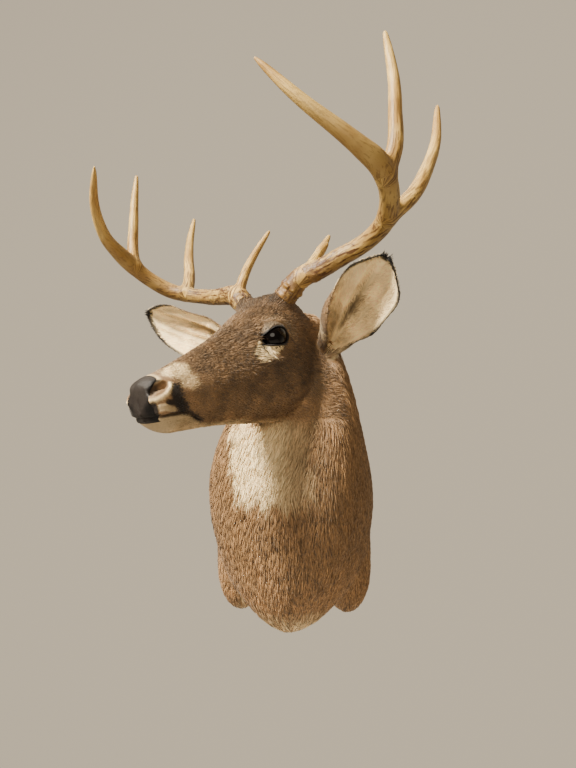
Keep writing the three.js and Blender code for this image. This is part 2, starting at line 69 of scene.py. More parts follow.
# The head's lines: ahead of the eyes, top, bottom, and half widths at brow, cheek and jaw.
HEAD_LINES = (
    (186, -59, -88, 14, 21, 14), (181, -51, -96, 19, 28, 19), (171, -46, -107, 22, 33, 25),
    (155, -40, -114, 21, 33, 27), (130, -28, -114, 18, 32, 27), (100, -13, -113, 19, 35, 29),
    (65, 6, -113, 24, 41, 33), (30, 29, -114, 36, 50, 38), (-5, 50, -115, 49, 60, 42),
    (-35, 66, -116, 50, 64, 45), (-60, 72, -114, 46, 62, 45), (-85, 64, -106, 40, 57, 42),
    (-108, 46, -90, 34, 49, 36), (-124, 22, -62, 22, 32, 22),
)
# The neck and chest: nape and throat as out and up, half widths of crest, side and keel, sideways place, turn.
BODY_LINES = (
    (0, 165, 0, -152, 98, 138, 110, 23, 0), (45, 203, 72, -172, 94, 142, 104, 25, 0),
    (90, 240, 145, -173, 88, 139, 92, 31, -2), (135, 273, 207, -142, 81, 134, 88, 33, -5),
    (178, 300, 255, -92, 73, 118, 82, 42, -9), (212, 319, 285, -28, 64, 102, 73, 50, -14),
    (238, 328, 298, 38, 54, 84, 56, 56, -20), (257, 322, 296, 98, 44, 58, 39, 66, -26),
    (270, 300, 284, 148, 32, 45, 31, 61, -30),
)
SHOULDER_RADII = (47, 66, 90)
SHOULDER_AT = (94, -34, -83)  # out from the chest's middle line, from the wall, up
CHEST_MIDDLE = 23

EYE_RADIUS = 17.5
EYE_AT = (46, 1, 0)
EYE_LOOK = (0.92, -0.39, 0)
# The opening between the lids, forward and up of the eyeball's centre, round from the front corner.
LIDS_OPEN = (
    (26, -6.4), (19.5, -1.5), (12, 4.8), (4, 9.8), (-4, 10.8), (-11.5, 9.2), (-17, 5.2), (-19.3, 0.5),
    (-17, -6), (-10.5, -10.5), (-2, -12), (7, -12.2), (15, -11.2), (21.5, -9),
)
LID_THICK = 2.0

# Each ear's root, tip and the way its cup opens, as out, back and up: 1 is the deer's left ear, -1 its right.
EAR_ROOTS = {1: (60, 108, -10), -1: (58, 86, -6)}
EAR_TIPS = {1: (211, 20, 74), -1: (225, 14, 77)}
EAR_FACING = {1: (0.51, -0.84, -0.17), -1: (-0.05, -0.86, -0.42)}
EAR_BACKSWEEP = 12
EAR_SUNK = 0.12  # how far the root starts inside the head, as a share of the length
# Share of the length, radius on the crown's side and away from it, wrap in degrees on both sides, thickness.
EAR_LINES = {
    1: (
        (0, 17, 18, 172, 172, 18), (0.1, 18, 20, 165, 150, 15), (0.2, 22, 25, 162, 112, 11),
        (0.3, 27, 31, 160, 88, 8), (0.4, 32, 39, 158, 76, 6), (0.5, 35, 46, 146, 70, 6),
        (0.6, 35.5, 50, 112, 66, 5), (0.7, 36, 50.5, 80, 63, 5), (0.8, 35, 49, 64, 60, 4),
        (0.87, 32, 45, 59, 59, 4), (0.93, 26, 37, 54, 55, 4), (0.97, 18, 27, 50, 50, 3),
        (0.99, 13, 18, 46, 46, 2),
    ),
    -1: (
        (0, 19, 19, 174, 174, 18), (0.1, 21, 21, 150, 160, 17), (0.2, 26, 26, 88, 130, 10),
        (0.32, 34, 34, 58, 104, 6), (0.46, 41, 40, 50, 92, 5), (0.6, 44, 42, 53, 84, 5),
        (0.74, 41, 38, 57, 75, 4), (0.87, 32, 30, 58, 66, 4), (0.95, 20, 20, 54, 54, 3),
        (0.99, 11, 11, 46, 46, 2),
    ),
}

BEAM_PATHS = {
    "left": (
        (37, 42, 56), (62, 49, 80), (92, 56, 88), (122, 60, 98), (152, 62, 106), (183, 56, 117),
        (200, 47, 126), (218, 25, 139), (228, 2, 153), (230, -19, 166), (222, -42, 180), (211, -62, 195),
        (186, -96, 226), (153, -126, 272),
    ),
    "right": (
        (36, 42, 58), (60, 49, 78), (90, 56, 84), (118, 61, 88), (146, 62, 94), (177, 57, 102),
        (205, 45, 113), (224, 20, 132), (232, -4, 151), (231, -29, 167), (221, -60, 184), (206, -83, 205),
        (188, -100, 226), (155, -118, 260),
    ),
}
BEAM_RADII = (
    (0, 16), (0.1, 14.5), (0.2, 12.8), (0.32, 11.6), (0.43, 12.3), (0.52, 12), (0.62, 13), (0.7, 10.5),
    (0.8, 8.2), (0.9, 6.2), (0.97, 3.8), (1, 1.4),
)
BURR_AT, BURR_RING, BURR_HALF = 0.045, 13.4, 3.6
TINES = {
    "brow": (7.2, ((68, 48, 80), (75, 66, 104), (78, 82, 122), (79, 105, 147)),
             ((54, 46, 76), (51, 64, 114), (46, 86, 148), (31, 105, 182))),
    "second": (9.5, ((203, 42, 124), (229, 66, 152), (239, 104, 203), (242, 120, 233), (240, 141, 288)),
               ((176, 54, 101), (190, 76, 134), (212, 98, 176), (229, 120, 218), (241, 145, 266))),
    "third": (9, ((230, -4, 154), (241, 3, 188), (243, 7, 230), (243, 10, 266), (235, 14, 329)),
              ((230, -4, 148), (240, 2, 185), (242, 8, 226), (241, 13, 270), (238, 18, 312))),
}
BROW_SPUR = ((77, 80, 120), (85, 89, 130))
TINE_BLUNTNESS = 0.42

SKIN_VOXEL, ANTLER_VOXEL = 3.1, 1.5
FLESH_LOW, FLESH_HIGH = (-185, -545, -200), (215, 12, 370)  # the box the skin is worked out in
# Widths of the fillets where one form runs into the next.
NECK_FILLET, SHOULDER_FILLET, PEDICLE_FILLET, TINE_FILLET, BURR_FILLET = 15, 20, 12, 7, 3
# How finely each form is lofted: rings along it, and points round it or to a corner.
HEAD_RINGS, HEAD_PER, BODY_RINGS, BODY_PER = 110, 12, 90, 14
BEAM_RINGS, TINE_RINGS, SPUR_RINGS, TUBE_SIDES = 150, 70, 20, 24
EYE_RINGS, EYE_SIDES = 48, 64
EYE_GAP = 0.15  # between the eyeball and its CAD solid
LEATHER_THICK = 0.9

# ---- small tools ----

head_matrix = np.array(
    Matrix.Translation((0, -EYES_OUT, EYES_UP))
    @ Matrix.Rotation(math.radians(HEAD_TURN), 4, "Z")
    @ Matrix.Rotation(math.radians(HEAD_NOD), 4, "X")
)


def from_head(points):
    return np.asarray(points, float) @ head_matrix[:3, :3].T + head_matrix[:3, 3]


def to_head(points):
    return (np.asarray(points, float) - head_matrix[:3, 3]) @ head_matrix[:3, :3]


def unit(v):
    v = np.asarray(v, float)
    return v / np.maximum(np.linalg.norm(v, axis=-1, keepdims=True), 1e-9)


def step(low, high, x):
    """0 below low, 1 above high, smooth between."""
    t = np.clip((np.asarray(x, float) - low) / (high - low), 0, 1)
    return t * t * (3 - 2 * t)


def blend(a, b, share):
    return a + (b - a) * share


def bell(x, width):
    """1 at zero, falling off on both sides."""
    return np.exp(-((x / width) ** 2))


def search_tree(points):
    tree = KDTree(len(points))
    for i, p in enumerate(points):
        tree.insert(p, i)
    tree.balance()
    return tree


_lattice = np.random.default_rng(11)
_order = _lattice.permutation(256)
_value = _lattice.uniform(-1, 1, 256)


def noise(points, size, seed=0):
    """A smooth random field between -1 and 1 with features about one size across."""
    p = np.asarray(points, float) / size + 31.7 * seed
    cell = np.floor(p).astype(int)
    f = p - cell
    w = f * f * (3 - 2 * f)
    total = 0
    for corner in range(8):
        bits = [(corner >> axis) & 1 for axis in range(3)]
        weight = np.prod([w[..., a] if bits[a] else 1 - w[..., a] for a in range(3)], axis=0)
        key = (_order[(cell[..., 0] + bits[0]) & 255] + cell[..., 1] + bits[1]) & 255
        key = (_order[key] + cell[..., 2] + bits[2]) & 255
        total = total + weight * _value[key]
    return total


def stations(table, at):
    """Values read at places in a table by a smooth curve through its rows. Column 0 holds the places."""
    table = np.asarray(table, float)
    if table[-1, 0] < table[0, 0]:
        table = table[::-1]
    key, values = table[:, 0], table[:, 1:]
    n = len(key)
    before, after = np.maximum(np.arange(n) - 1, 0), np.minimum(np.arange(n) + 1, n - 1)
    slope = (values[after] - values[before]) / (key[after] - key[before])[:, None]
    at = np.atleast_1d(np.asarray(at, float))
    i = np.clip(np.searchsorted(key, at, "right") - 1, 0, n - 2)
    span = (key[i + 1] - key[i])[:, None]
    t = np.clip((at - key[i])[:, None] / span, 0, 1)
    t2, t3 = t * t, t * t * t
    ends = values[i] * (2 * t3 - 3 * t2 + 1) + values[i + 1] * (3 * t2 - 2 * t3)
    return ends + span * (slope[i] * (t3 - 2 * t2 + t) + slope[i + 1] * (t3 - t2))


def through(p0, p1, p2, p3, t):
    """Points at shares t between p1 and p2 on a centripetal curve through four points."""
    def gap(a, b):
        return np.maximum(np.sqrt(np.linalg.norm(b - a, axis=-1, keepdims=True)), 1e-4)

    d0, d1, d2 = gap(p0, p1), gap(p1, p2), gap(p2, p3)
    m1 = ((p1 - p0) / d0 - (p2 - p0) / (d0 + d1) + (p2 - p1) / d1) * d1
    m2 = ((p2 - p1) / d1 - (p3 - p1) / (d1 + d2) + (p3 - p2) / d2) * d1
    t2, t3 = t * t, t * t * t
    return p1 * (2 * t3 - 3 * t2 + 1) + m1 * (t3 - 2 * t2 + t) + p2 * (3 * t2 - 2 * t3) + m2 * (t3 - t2)


def closed_curve(corners, per):
    """A smooth closed curve through corners, per points for each. Works on many rings at once."""
    corners = np.asarray(corners, float)
    p = [np.roll(corners, k, axis=-2)[..., :, None, :] for k in (1, 0, -1, -2)]
    t = (np.arange(per) / per)[:, None]
    made = through(*p, t)
    return made.reshape(*corners.shape[:-2], -1, corners.shape[-1])


def open_curve(points, count):
    """Evenly spaced points and tangents along a smooth curve through points."""
    p = np.asarray(points, float)
    p = np.vstack([2 * p[0] - p[1], p, 2 * p[-1] - p[-2]])
    t = (np.arange(40) / 40)[:, None]
    dense = [through(*(q[None] for q in p[i : i + 4]), t) for i in range(len(p) - 3)]
    dense = np.vstack([*dense, p[-2][None]])
    along = np.concatenate([[0], np.cumsum(np.linalg.norm(np.diff(dense, axis=0), axis=1))])
    want = np.linspace(0, along[-1], count)
    at = np.stack([np.interp(want, along, dense[:, k]) for k in range(3)], axis=1)
    return at, unit(np.gradient(at, axis=0))


def ring_faces(rings, sides):
    """Triangles of a closed loft of rings, its two ends closed by fans onto two further points."""
    r, s = np.meshgrid(np.arange(rings - 1), np.arange(sides), indexing="ij")
    a, b = r * sides + s, r * sides + (s + 1) % sides
    walls = np.stack([a, b, b + sides, a, b + sides, a + sides], axis=-1).reshape(-1, 3)
    s = np.arange(sides)
    last = (rings - 1) * sides
    first_fan = np.stack([(s + 1) % sides, s, np.full(sides, rings * sides)], axis=1)
    last_fan = np.stack([last + s, last + (s + 1) % sides, np.full(sides, rings * sides + 1)], axis=1)
    return np.vstack([walls, first_fan, last_fan])


def loft(rings):
    """Points and triangles of a closed form over rings of points."""
    count, sides, _ = rings.shape
    ends = np.stack([rings[0].mean(0), rings[-1].mean(0)])
    points, faces = np.vstack([rings.reshape(-1, 3), ends]), ring_faces(count, sides)
    a, b, c = (points[faces[:, k]] - points[0] for k in range(3))
    outward = (np.cross(a, b) * c).sum() > 0
    return points, faces if outward else faces[:, ::-1]


def section_rings(top, bottom, sideways, widths, per):
    """Rings that hang from top points to bottom points, widened sideways at the three levels."""
    shares = np.array([0, *LEVELS, 1, *LEVELS[::-1]])
    signs = np.array([0, 1, 1, 1, 0, -1, -1, -1])
    across = widths[:, [0, 0, 1, 2, 0, 2, 1, 0]] * signs
    down = bottom - top
    corners = top[:, None] + down[:, None] * shares[:, None] + sideways[:, None] * across[..., None]
    return closed_curve(corners, per)


def head_rings():
    ahead = np.linspace(HEAD_LINES[0][0], HEAD_LINES[-1][0], HEAD_RINGS)
    top, bottom, *widths = stations(HEAD_LINES, ahead).T
    zero = np.zeros_like(ahead)
    sideways = np.tile(head_matrix[:3, 0], (len(ahead), 1))
    tops = from_head(np.stack([zero, -ahead, top], 1))
    bottoms = from_head(np.stack([zero, -ahead, bottom], 1))
    return section_rings(tops, bottoms, sideways, np.stack(widths, 1), HEAD_PER)


def body_rings():
    table = [(i, *line) for i, line in enumerate(BODY_LINES)]
    v = stations(table, np.linspace(0, len(table) - 1, BODY_RINGS))
    nape_out, nape_up, throat_out, throat_up, *widths = v.T[:7]
    x, turn = v[:, 7], np.radians(v[:, 8])
    zero = np.zeros_like(x)
    sideways = np.stack([np.cos(turn), np.sin(turn), zero], 1)
    forward = np.stack([np.sin(turn), -np.cos(turn), zero], 1)
    middle = (nape_out + throat_out) / 2

    def place(out, up):
        return np.stack([x, -middle, up], 1) + forward * (out - middle)[:, None]

    nape, throat = place(nape_out, nape_up), place(throat_out, throat_up)
    return section_rings(nape, throat, sideways, np.stack(widths, 1), BODY_PER)


def tube_rings(at, tangents, radii):
    """Rings of a swept tube, with frames carried along without twist."""
    normal = unit(np.cross(tangents[0], (0.3, 0.2, 1)))
    rings = []
    angle = np.linspace(0, 2 * np.pi, TUBE_SIDES, endpoint=False)
    for p, t, r in zip(at, tangents, radii):
        normal = unit(normal - t * normal.dot(t))
        other = np.cross(t, normal)
        rings.append(p + r * (np.cos(angle)[:, None] * normal + np.sin(angle)[:, None] * other))
    return np.array(rings)


# ---- solids as distance fields ----


class Field:
    """A box of voxels that holds the signed distance to a form, negative inside."""

    def __init__(self, low, high, voxel, reach):
        self.voxel, self.reach = voxel, reach
        self.first = np.floor(np.asarray(low) / voxel).astype(int)
        self.shape = tuple(np.ceil(np.asarray(high) / voxel).astype(int) - self.first)
        self.transform = openvdb.createLinearTransform(voxelSize=voxel)

    def of(self, points, triangles):
        grid = openvdb.FloatGrid.createLevelSetFromPolygons(
            np.ascontiguousarray(points, np.float32),
            triangles=np.ascontiguousarray(triangles, np.uint32),
            transform=self.transform,
            halfWidth=self.reach / self.voxel,
        )
        out = np.empty(self.shape, np.float32)
        grid.copyToArray(out, ijk=tuple(int(i) for i in self.first))
        return out

    def places(self):
        """The position of every voxel."""
        axes = [(self.first[a] + np.arange(self.shape[a])) * self.voxel for a in range(3)]
        return np.stack(np.meshgrid(*axes, indexing="ij"), axis=-1).astype(np.float32)

    def surface(self, distance):
        """Points and quads of the surface where the distance is zero."""
        grid = openvdb.FloatGrid()
        grid.transform = self.transform
        grid.copyFromArray(np.ascontiguousarray(distance, np.float32), ijk=tuple(int(i) for i in self.first))
        points, _, quads = grid.convertToPolygons(isovalue=0, adaptivity=0)
        return np.asarray(points, float), np.asarray(quads, int)


def soft_join(a, b, width):
    """The union of two distance fields with a fillet about this wide."""
    h = np.clip(0.5 + 0.5 * (b - a) / width, 0, 1)
    return b * (1 - h) + a * h - width * h * (1 - h)


# ---- meshes and materials ----


def mesh_object(name, points, faces, smooth=True):
    """A mesh from points in millimetres. Faces is an array with a fixed number of corners."""
    mesh = bpy.data.meshes.new(name)
    faces = np.asarray(faces, np.int32)
    mesh.vertices.add(len(points))
    mesh.vertices.foreach_set("co", (np.asarray(points, float) * MM).astype(np.float32).ravel())
    mesh.loops.add(faces.size)
    mesh.loops.foreach_set("vertex_index", faces.ravel())
    mesh.polygons.add(len(faces))
    mesh.polygons.foreach_set("loop_start", np.arange(len(faces), dtype=np.int32) * faces.shape[1])
    mesh.polygons.foreach_set("use_smooth", np.full(len(faces), smooth))
    mesh.update(calc_edges=True)
    mesh.validate()
    made = bpy.data.objects.new(name, mesh)
    bpy.context.scene.collection.objects.link(made)
    return made


def set_attribute(obj, name, values):
    layer = obj.data.attributes.new(name, "FLOAT", "POINT")
    layer.data.foreach_set("value", np.asarray(values, np.float32))


def data_of(items, field, width=3, kind=np.float32):
    """One field of all the items of a mesh, a row for each."""
    out = np.empty(len(items) * width, kind)
    items.foreach_get(field, out)
    return out.reshape(-1, width)


def attribute_of(obj, name):
    return data_of(obj.data.attributes[name].data, "value", 1)[:, 0]


def points_of(obj):
    return data_of(obj.data.vertices, "co").astype(float) / MM


def normals_of(obj):
    return data_of(obj.data.vertex_normals, "vector").astype(float)


def triangles_of(obj):
    obj.data.calc_loop_triangles()
    return data_of(obj.data.loop_triangles, "vertices", 3, np.int32)


def linear(code):
    """A hex sRGB colour as linear red, green, blue and alpha."""
    channels = [int(code[i : i + 2], 16) / 255 for i in (0, 2, 4)]
    return (*(c / 12.92 if c <= 0.04045 else ((c + 0.055) / 1.055) ** 2.4 for c in channels), 1)


def per(size):
    """The scale of a pattern whose features are this many millimetres across."""
    return 1 / (size * MM)


def new_material(name, **values):
    """A material with values on its shader's sockets, named as the sockets are, with _ for a space."""
    made = bpy.data.materials.new(name)
    made.use_nodes = True
    shader = made.node_tree.nodes["Principled BSDF"]
    for key, value in values.items():
        shader.inputs[key.replace("_", " ")].default_value = value
    return made, made.node_tree, shader


def add(tree, kind, sockets=None, **settings):
    """A new node with its settings, and its sockets set to values or joined to other nodes' outputs."""
    made = tree.nodes.new(kind)
    for key, value in settings.items():
        setattr(made, key, value)
    for key, value in (sockets or {}).items():
        if isinstance(value, bpy.types.NodeSocket):
            tree.links.new(value, made.inputs[key])
        else:
            made.inputs[key].default_value = value
    return made


# ---- the skin's form ----

SIDES = (1, -1)  # the deer's left, then its right


def coat_depth(points):
    """How far the skin lies under the tips of the coat: least on the muzzle, most on the chest."""
    h = to_head(points)
    ahead = -h[..., 1]
    head = blend(3.2, 1.0, step(40, 150, ahead))
    return blend(head, 6.0, step(-70, -125, ahead))


PEDICLE_RADIUS, PEDICLE_HIGH = 14.5, 9


def pedicle(side):
    """Where an antler's beam starts and the way it goes."""
    path = np.array(BEAM_PATHS["left" if side > 0 else "right"][:2]) * (side, 1, 1)
    foot, up = from_head(path)
    return foot, unit(up - foot)


def flesh_mesh():
    """Head, neck, chest and shoulders run together into one form, as points and quads."""
    field = Field(FLESH_LOW, FLESH_HIGH, SKIN_VOXEL, 26)
    head = field.of(*loft(head_rings()))
    body = field.of(*loft(body_rings()))
    out, wall, up = SHOULDER_AT
    joined = soft_join(head, body, NECK_FILLET)
    places = field.places()
    for side in SIDES:
        local = (places - (CHEST_MIDDLE + side * out, wall, up)) / SHOULDER_RADII
        length = np.linalg.norm(local, axis=-1)
        shoulder = (length - 1) * min(SHOULDER_RADII) * (1 + 0.35 * np.clip(length - 1, 0, 1))
        joined = soft_join(joined, shoulder, SHOULDER_FILLET)
    joined = joined + coat_depth(places)
    for side in SIDES:
        foot, tangent = pedicle(side)
        rel = places - foot
        t = np.clip(rel @ tangent, -20, PEDICLE_HIGH)
        collar = np.linalg.norm(rel - t[..., None] * tangent, axis=-1) - PEDICLE_RADIUS
        joined = soft_join(joined, collar, PEDICLE_FILLET)
    joined = np.maximum(joined, places[..., 1] + 1.0)
    return field.surface(joined)


def refined(points, quads, regions):
    """The mesh with the edges near each region cut in half, once for every region in turn."""
    mesh = bpy.data.meshes.new("refining")
    mesh.from_pydata(points.tolist(), [], quads.tolist())
    bm = bmesh.new()
    bm.from_mesh(mesh)
    bpy.data.meshes.remove(mesh)
    for inside in regions:
        co = np.array([v.co for v in bm.verts])
        chosen = inside(co)
        edges = [e for e in bm.edges if chosen[e.verts[0].index] and chosen[e.verts[1].index]]
        bmesh.ops.subdivide_edges(bm, edges=edges, cuts=1, use_grid_fill=True)
        bm.verts.index_update()
    bmesh.ops.triangulate(bm, faces=bm.faces[:])
    bmesh.ops.recalc_face_normals(bm, faces=bm.faces[:])
    out = bpy.data.meshes.new("refined")
    bm.to_mesh(out)
    bm.free()
    return out


def relax(mesh, chosen, rounds, keep_volume=True):
    """Evens out a mesh's chosen points by moving them towards their neighbours' middle."""
    count = len(mesh.vertices)
    a, b = data_of(mesh.edges, "vertices", 2, np.int32).T
    co = data_of(mesh.vertices, "co", 3, float)
    degree = np.bincount(a, minlength=count) + np.bincount(b, minlength=count)
    weight = np.asarray(chosen, float)[:, None]
    for _ in range(rounds):
        for strength in (0.6, -0.62) if keep_volume else (0.6,):
            total = np.zeros_like(co)
            for axis in range(3):
                total[:, axis] = np.bincount(a, co[b, axis], count) + np.bincount(b, co[a, axis], count)
            co += weight * strength * (total / degree[:, None] - co)
    mesh.vertices.foreach_set("co", co.ravel())
    mesh.update()


# ---- the head's features, in the head's frame ----


def eye_frame(side):
    """The eyeball's centre, and the directions forward along the face, up and outwards."""
    look = unit(np.array(EYE_LOOK) * (side, 1, 1))
    up = np.array((0.0, 0.0, 1.0))
    forward = unit(np.cross(look, up)) * side
    return np.array(EYE_AT) * (side, 1, 1), forward if forward[1] < 0 else -forward, up, look


def in_eye_frame(h, side):
    centre, *axes = eye_frame(side)
    return (h - centre) @ np.array(axes).T


def lids_outline():
    return closed_curve(np.array(LIDS_OPEN, float), 8)


def outline_distance(points, outline):
    """Distance of flat points to a closed outline, negative inside."""
    a, b = outline, np.roll(outline, -1, axis=0)
    edge = b - a
    rel = points[:, None] - a
    t = np.clip((rel * edge).sum(-1) / (edge * edge).sum(-1), 0, 1)
    distance = np.linalg.norm(rel - t[..., None] * edge, axis=-1).min(1)
    crosses = (a[:, 1] > points[:, None, 1]) != (b[:, 1] > points[:, None, 1])
    reach = a[:, 0] + (points[:, None, 1] - a[:, 1]) / np.where(edge[:, 1] == 0, 1e-9, edge[:, 1]) * edge[:, 0]
    inside = (crosses & (points[:, None, 0] < reach)).sum(1) % 2 == 1
    return np.where(inside, -distance, distance)


def soft_max(a, b, width):
    return -soft_join(-a, -b, width)


def shape_eye(h, side):
    """Lids that hug the eyeball round their opening, the orbit's crease and the ridge of the brow."""
    local = in_eye_frame(h, side)
    radius = np.hypot(local[:, 0], local[:, 1])
    near = (radius < 40) & (local[:, 2] > -4)
    f, u, d = local[near].T
    r = radius[near]
    brow = np.exp(-(((u - 21 + 0.012 * (f + 4) ** 2) / 6.5) ** 2) - ((f + 2) / 22) ** 2)
    crease = bell(r - 19.5, 2.6) * step(-6, 6, u)
    below = bell(r - 20.5, 3.5) * step(0, -8, u)
    d = d + 3.2 * brow
    lid = np.sqrt(np.maximum((EYE_RADIUS + LID_THICK) ** 2 - r**2, 0)) - 60 * step(EYE_RADIUS + 1, 30, r)
    d = soft_max(d, lid, 6) - 1.8 * crease - 0.9 * below
    fold = bell(np.hypot(f + 1, (u + 1) * 1.05) - 14.2, 0.9) * step(1, 6, u)
    d = d - 0.9 * fold
    s = outline_distance(np.stack([f, u], 1), lids_outline())
    eyeball = np.sqrt(np.maximum(EYE_RADIUS**2 - r**2, 0))
    floor = np.minimum(d - 4.5, np.where(r < EYE_RADIUS, eyeball - 3, d))
    d = blend(d, floor, step(0.35, -0.75, s))
    local[near, 2] = d
    centre, *axes = eye_frame(side)
    h[near] = centre + local[near] @ np.array(axes)
    return h


def segment_distance(points, a, b):
    a, b = np.asarray(a, float), np.asarray(b, float)
    edge = b - a
    t = np.clip(((points - a) @ edge) / edge.dot(edge), 0, 1)
    return np.linalg.norm(points - a - t[:, None] * edge, axis=1)


def path_distance(points, path):
    return np.min([segment_distance(points, a, b) for a, b in zip(path[:-1], path[1:])], axis=0)


# Lines on the left side of the face, as out, ahead and up. The right side mirrors them.
TEAR_SLIT = ((44, 30, -9), (43.5, 34, -15), (43, 37, -23))
NOSTRIL_FRONT = ((16, 184, -73), (15.5, 182, -64), (18, 177, -56), (22, 169, -52))
NOSTRIL_SLIT = ((19, 181, -67), (22, 177, -63), (24, 171, -60), (25, 166, -58.5))
NOSTRIL_FOLD = ((19, 183, -76), (25, 180, -75.5), (28.5, 176, -73.5), (30, 170, -70), (29.5, 164, -64),
                (26.5, 160, -57))
NOSTRIL_RIM = ((14, 180, -60), (18, 168, -51))
MOUTH_LINE = ((0, 183, -95), (15, 179, -95.5), (23, 175, -94), (29.5, 166, -92.5), (31, 150, -91.5),
              (30, 138, -93), (28, 130, -97), (23, 117, -102))
DARK_CHEEK = ((30, 157, -63), (32, 157, -75), (32, 151, -86))
DARK_WEDGE = ((31.5, 169, -79), (32, 160, -80))
DARK_LIP = ((22, 184, -80), (23, 181, -86), (20, 177.5, -93))
PALE_LIP = ((27.5, 177.5, -84.5), (31.5, 172, -84), (31.5, 163, -87.5))
# The face's dark lines, each with its strength and the distances where it begins and where it is full. Those of
# DARK_BY_FOLD give way to the pale fold behind the nostril.
DARK_BY_FOLD = ((DARK_CHEEK, 0.97, 10.5, 5), (DARK_WEDGE, 0.95, 4.5, 2.5), (DARK_LIP, 0.97, 5, 3),
                (MOUTH_LINE[-4:], 0.9, 5, 2))
DARK_LINES = ((MOUTH_LINE, 0.92, 3.4, 1.4), (TEAR_SLIT, 0.95, 3.6, 1.8), (NOSTRIL_FRONT, 0.95, 3, 1))
# Round the pale patch under the eye, forward and up of the eyeball's centre.
EYE_PATCH = ((34, -8), (37, -22), (35, -31), (26, -32), (14, -27), (2, -21), (-8, -15), (-11, -10), (0, -12),
             (14, -9), (26, -5))
# Forms under the skin of the face: centre, radii and height. Cheekbone, hollow, jaw and brow.
FACE_FORMS = (
    ((52, -6, -34), (16, 26, 7), 2.2), ((45, 45, -30), (14, 24, 10), -1.6), ((48, 8, -62), (18, 34, 16), -2.0),
    ((54, -38, -70), (20, 26, 26), 2.4), ((40, 70, -78), (16, 30, 12), -1.2), ((30, 60, 0), (14, 34, 8), -1.0),
    ((0, 20, 44), (9, 30, 14), -1.0),
)


def line_distance(h, line, side):
    """Distance of places in the head's frame to a line of the face."""
    return path_distance(h, np.array([(side * out, -ahead, up) for out, ahead, up in line], float))


def shape_face(h):
    """Nostrils, mouth, tear slits, cheekbones and hollows, as moves along the surface's normal."""
    move = np.zeros(len(h))
    ahead = -h[:, 1]
    for side in SIDES:
        on = side * h[:, 0] > -2
        p = h[on]
        tear, mouth = line_distance(p, TEAR_SLIT, side), line_distance(p, MOUTH_LINE, side)
        here = 0.9 * bell(tear - 3.4, 1.6) - 2.6 * bell(tear, 1.5)
        here += 1.5 * bell(line_distance(p, NOSTRIL_FOLD, side), 3.0)
        here -= 6.5 * np.exp(-((line_distance(p, NOSTRIL_SLIT, side) / 4.6) ** 4))
        here += 0.8 * bell(line_distance(p, NOSTRIL_RIM, side), 4)
        here += 1.2 * blob(p, (26, 172, -86), (9, 9, 7), side)
        here -= 3.4 * bell(mouth, 1.3) - 0.8 * bell(mouth - 4.5, 2.5)
        for (out, front, up), radii, height in FACE_FORMS:
            here += height * np.exp(-(((p - (side * out, -front, up)) / radii) ** 2).sum(1))
        move[on] += here
    move -= 1.2 * bell(h[:, 0], 1.6) * step(182, 185, ahead) * step(-70, -80, h[:, 2])
    return move


# ---- ears ----

EAR_ACROSS = 40  # points across the cup
EAR_ALONG = 60
EAR_END = 0.992


def ear_axes(side):
    mirror = np.array((side, 1, 1))
    root, tip = np.array(EAR_ROOTS[side]) * mirror, np.array(EAR_TIPS[side]) * mirror
    along = unit(tip - root)
    facing = np.array(EAR_FACING[side]) * mirror
    facing = unit(facing - along * facing.dot(along))
    return root, tip - root, along, facing, np.cross(along, facing) * side


def ear_keel(at, side):
    """The deepest line of the cup at shares of the ear's length."""
    root, axis, _, facing, _ = ear_axes(side)
    return root + axis * at[:, None] - facing * (EAR_BACKSWEEP * np.sin(np.pi * np.clip(at, 0, 1)))[:, None]


def ear_folds(at, angle):
    """How far the inside of the cup is raised, for its ridges and the deep fold between them."""
    inner = step(0.08, 0.3, at) * step(0.99, 0.75, at)
    valley = -1.2 * bell(angle + 1, 9) * step(0.85, 0.5, at)
    ridge = 6.5 * bell(angle + 27, 10) * inner
    second = 3.6 * bell(angle - 15, 6) * inner * step(0.9, 0.6, at)
    third = 1.5 * bell(angle - 36, 6) * inner
    return valley + ridge + second + third


def ear_form(side):
    """One ear under its coat: a cupped leaf on a short tube, its two faces joined round the margin."""
    _, _, _, facing, across = ear_axes(side)
    at = (EAR_END + EAR_SUNK) * (1 - (1 - np.linspace(0, 1, EAR_ALONG)) ** 1.5) - EAR_SUNK
    crown_radius, outer_radius, inner, outer, thick = stations(EAR_LINES[side], at).T
    share = np.linspace(0, 1, EAR_ACROSS)
    angle = blend(-inner[:, None], outer[:, None], share[None])
    radius = np.where(angle < 0, crown_radius[:, None], outer_radius[:, None])
    wave = 2.2 * np.sin(at * 17 + 0.6)[:, None] * np.abs(2 * share - 1) ** 4 * step(0.2, 0.45, at)[:, None]
    centre = ear_keel(at, side)[:, None] + facing * radius[..., None]
    slim = np.minimum(thick * 0.3, 1.3)
    edge = np.sqrt(np.maximum(1 - np.abs(2 * share - 1) ** 5, 0.0))
    body = (thick - 2 * slim)[:, None] * (0.35 + 0.65 * edge)[None]
    turn = np.radians(angle)

    def surface(r):
        return centre - facing * (r * np.cos(turn))[..., None] + across * (r * np.sin(turn))[..., None]

    middle = radius - (thick / 2)[:, None] + wave
    back = surface(middle + body / 2)
    front = surface(middle - body / 2 - ear_folds(at[:, None], angle))
    rings = np.concatenate([back, front[:, ::-1]], axis=1)
    return loft(from_head(rings))


# ---- the skin ----


def distance_to(cloud, points):
    """How far each point near the ears is from the nearest of a cloud, and 99 elsewhere."""
    def close(places, reach):
        h = to_head(places)
        ends = [ear_axes(side)[:2] for side in SIDES]
        return np.min([segment_distance(h, root, root + axis) for root, axis in ends], axis=0) < reach

    near = close(points, 62)
    out = np.full(len(points), 99.0)
    tree = search_tree(cloud[close(cloud, 72)])
    out[near] = [tree.find(p)[2] for p in points[near]]
    return out


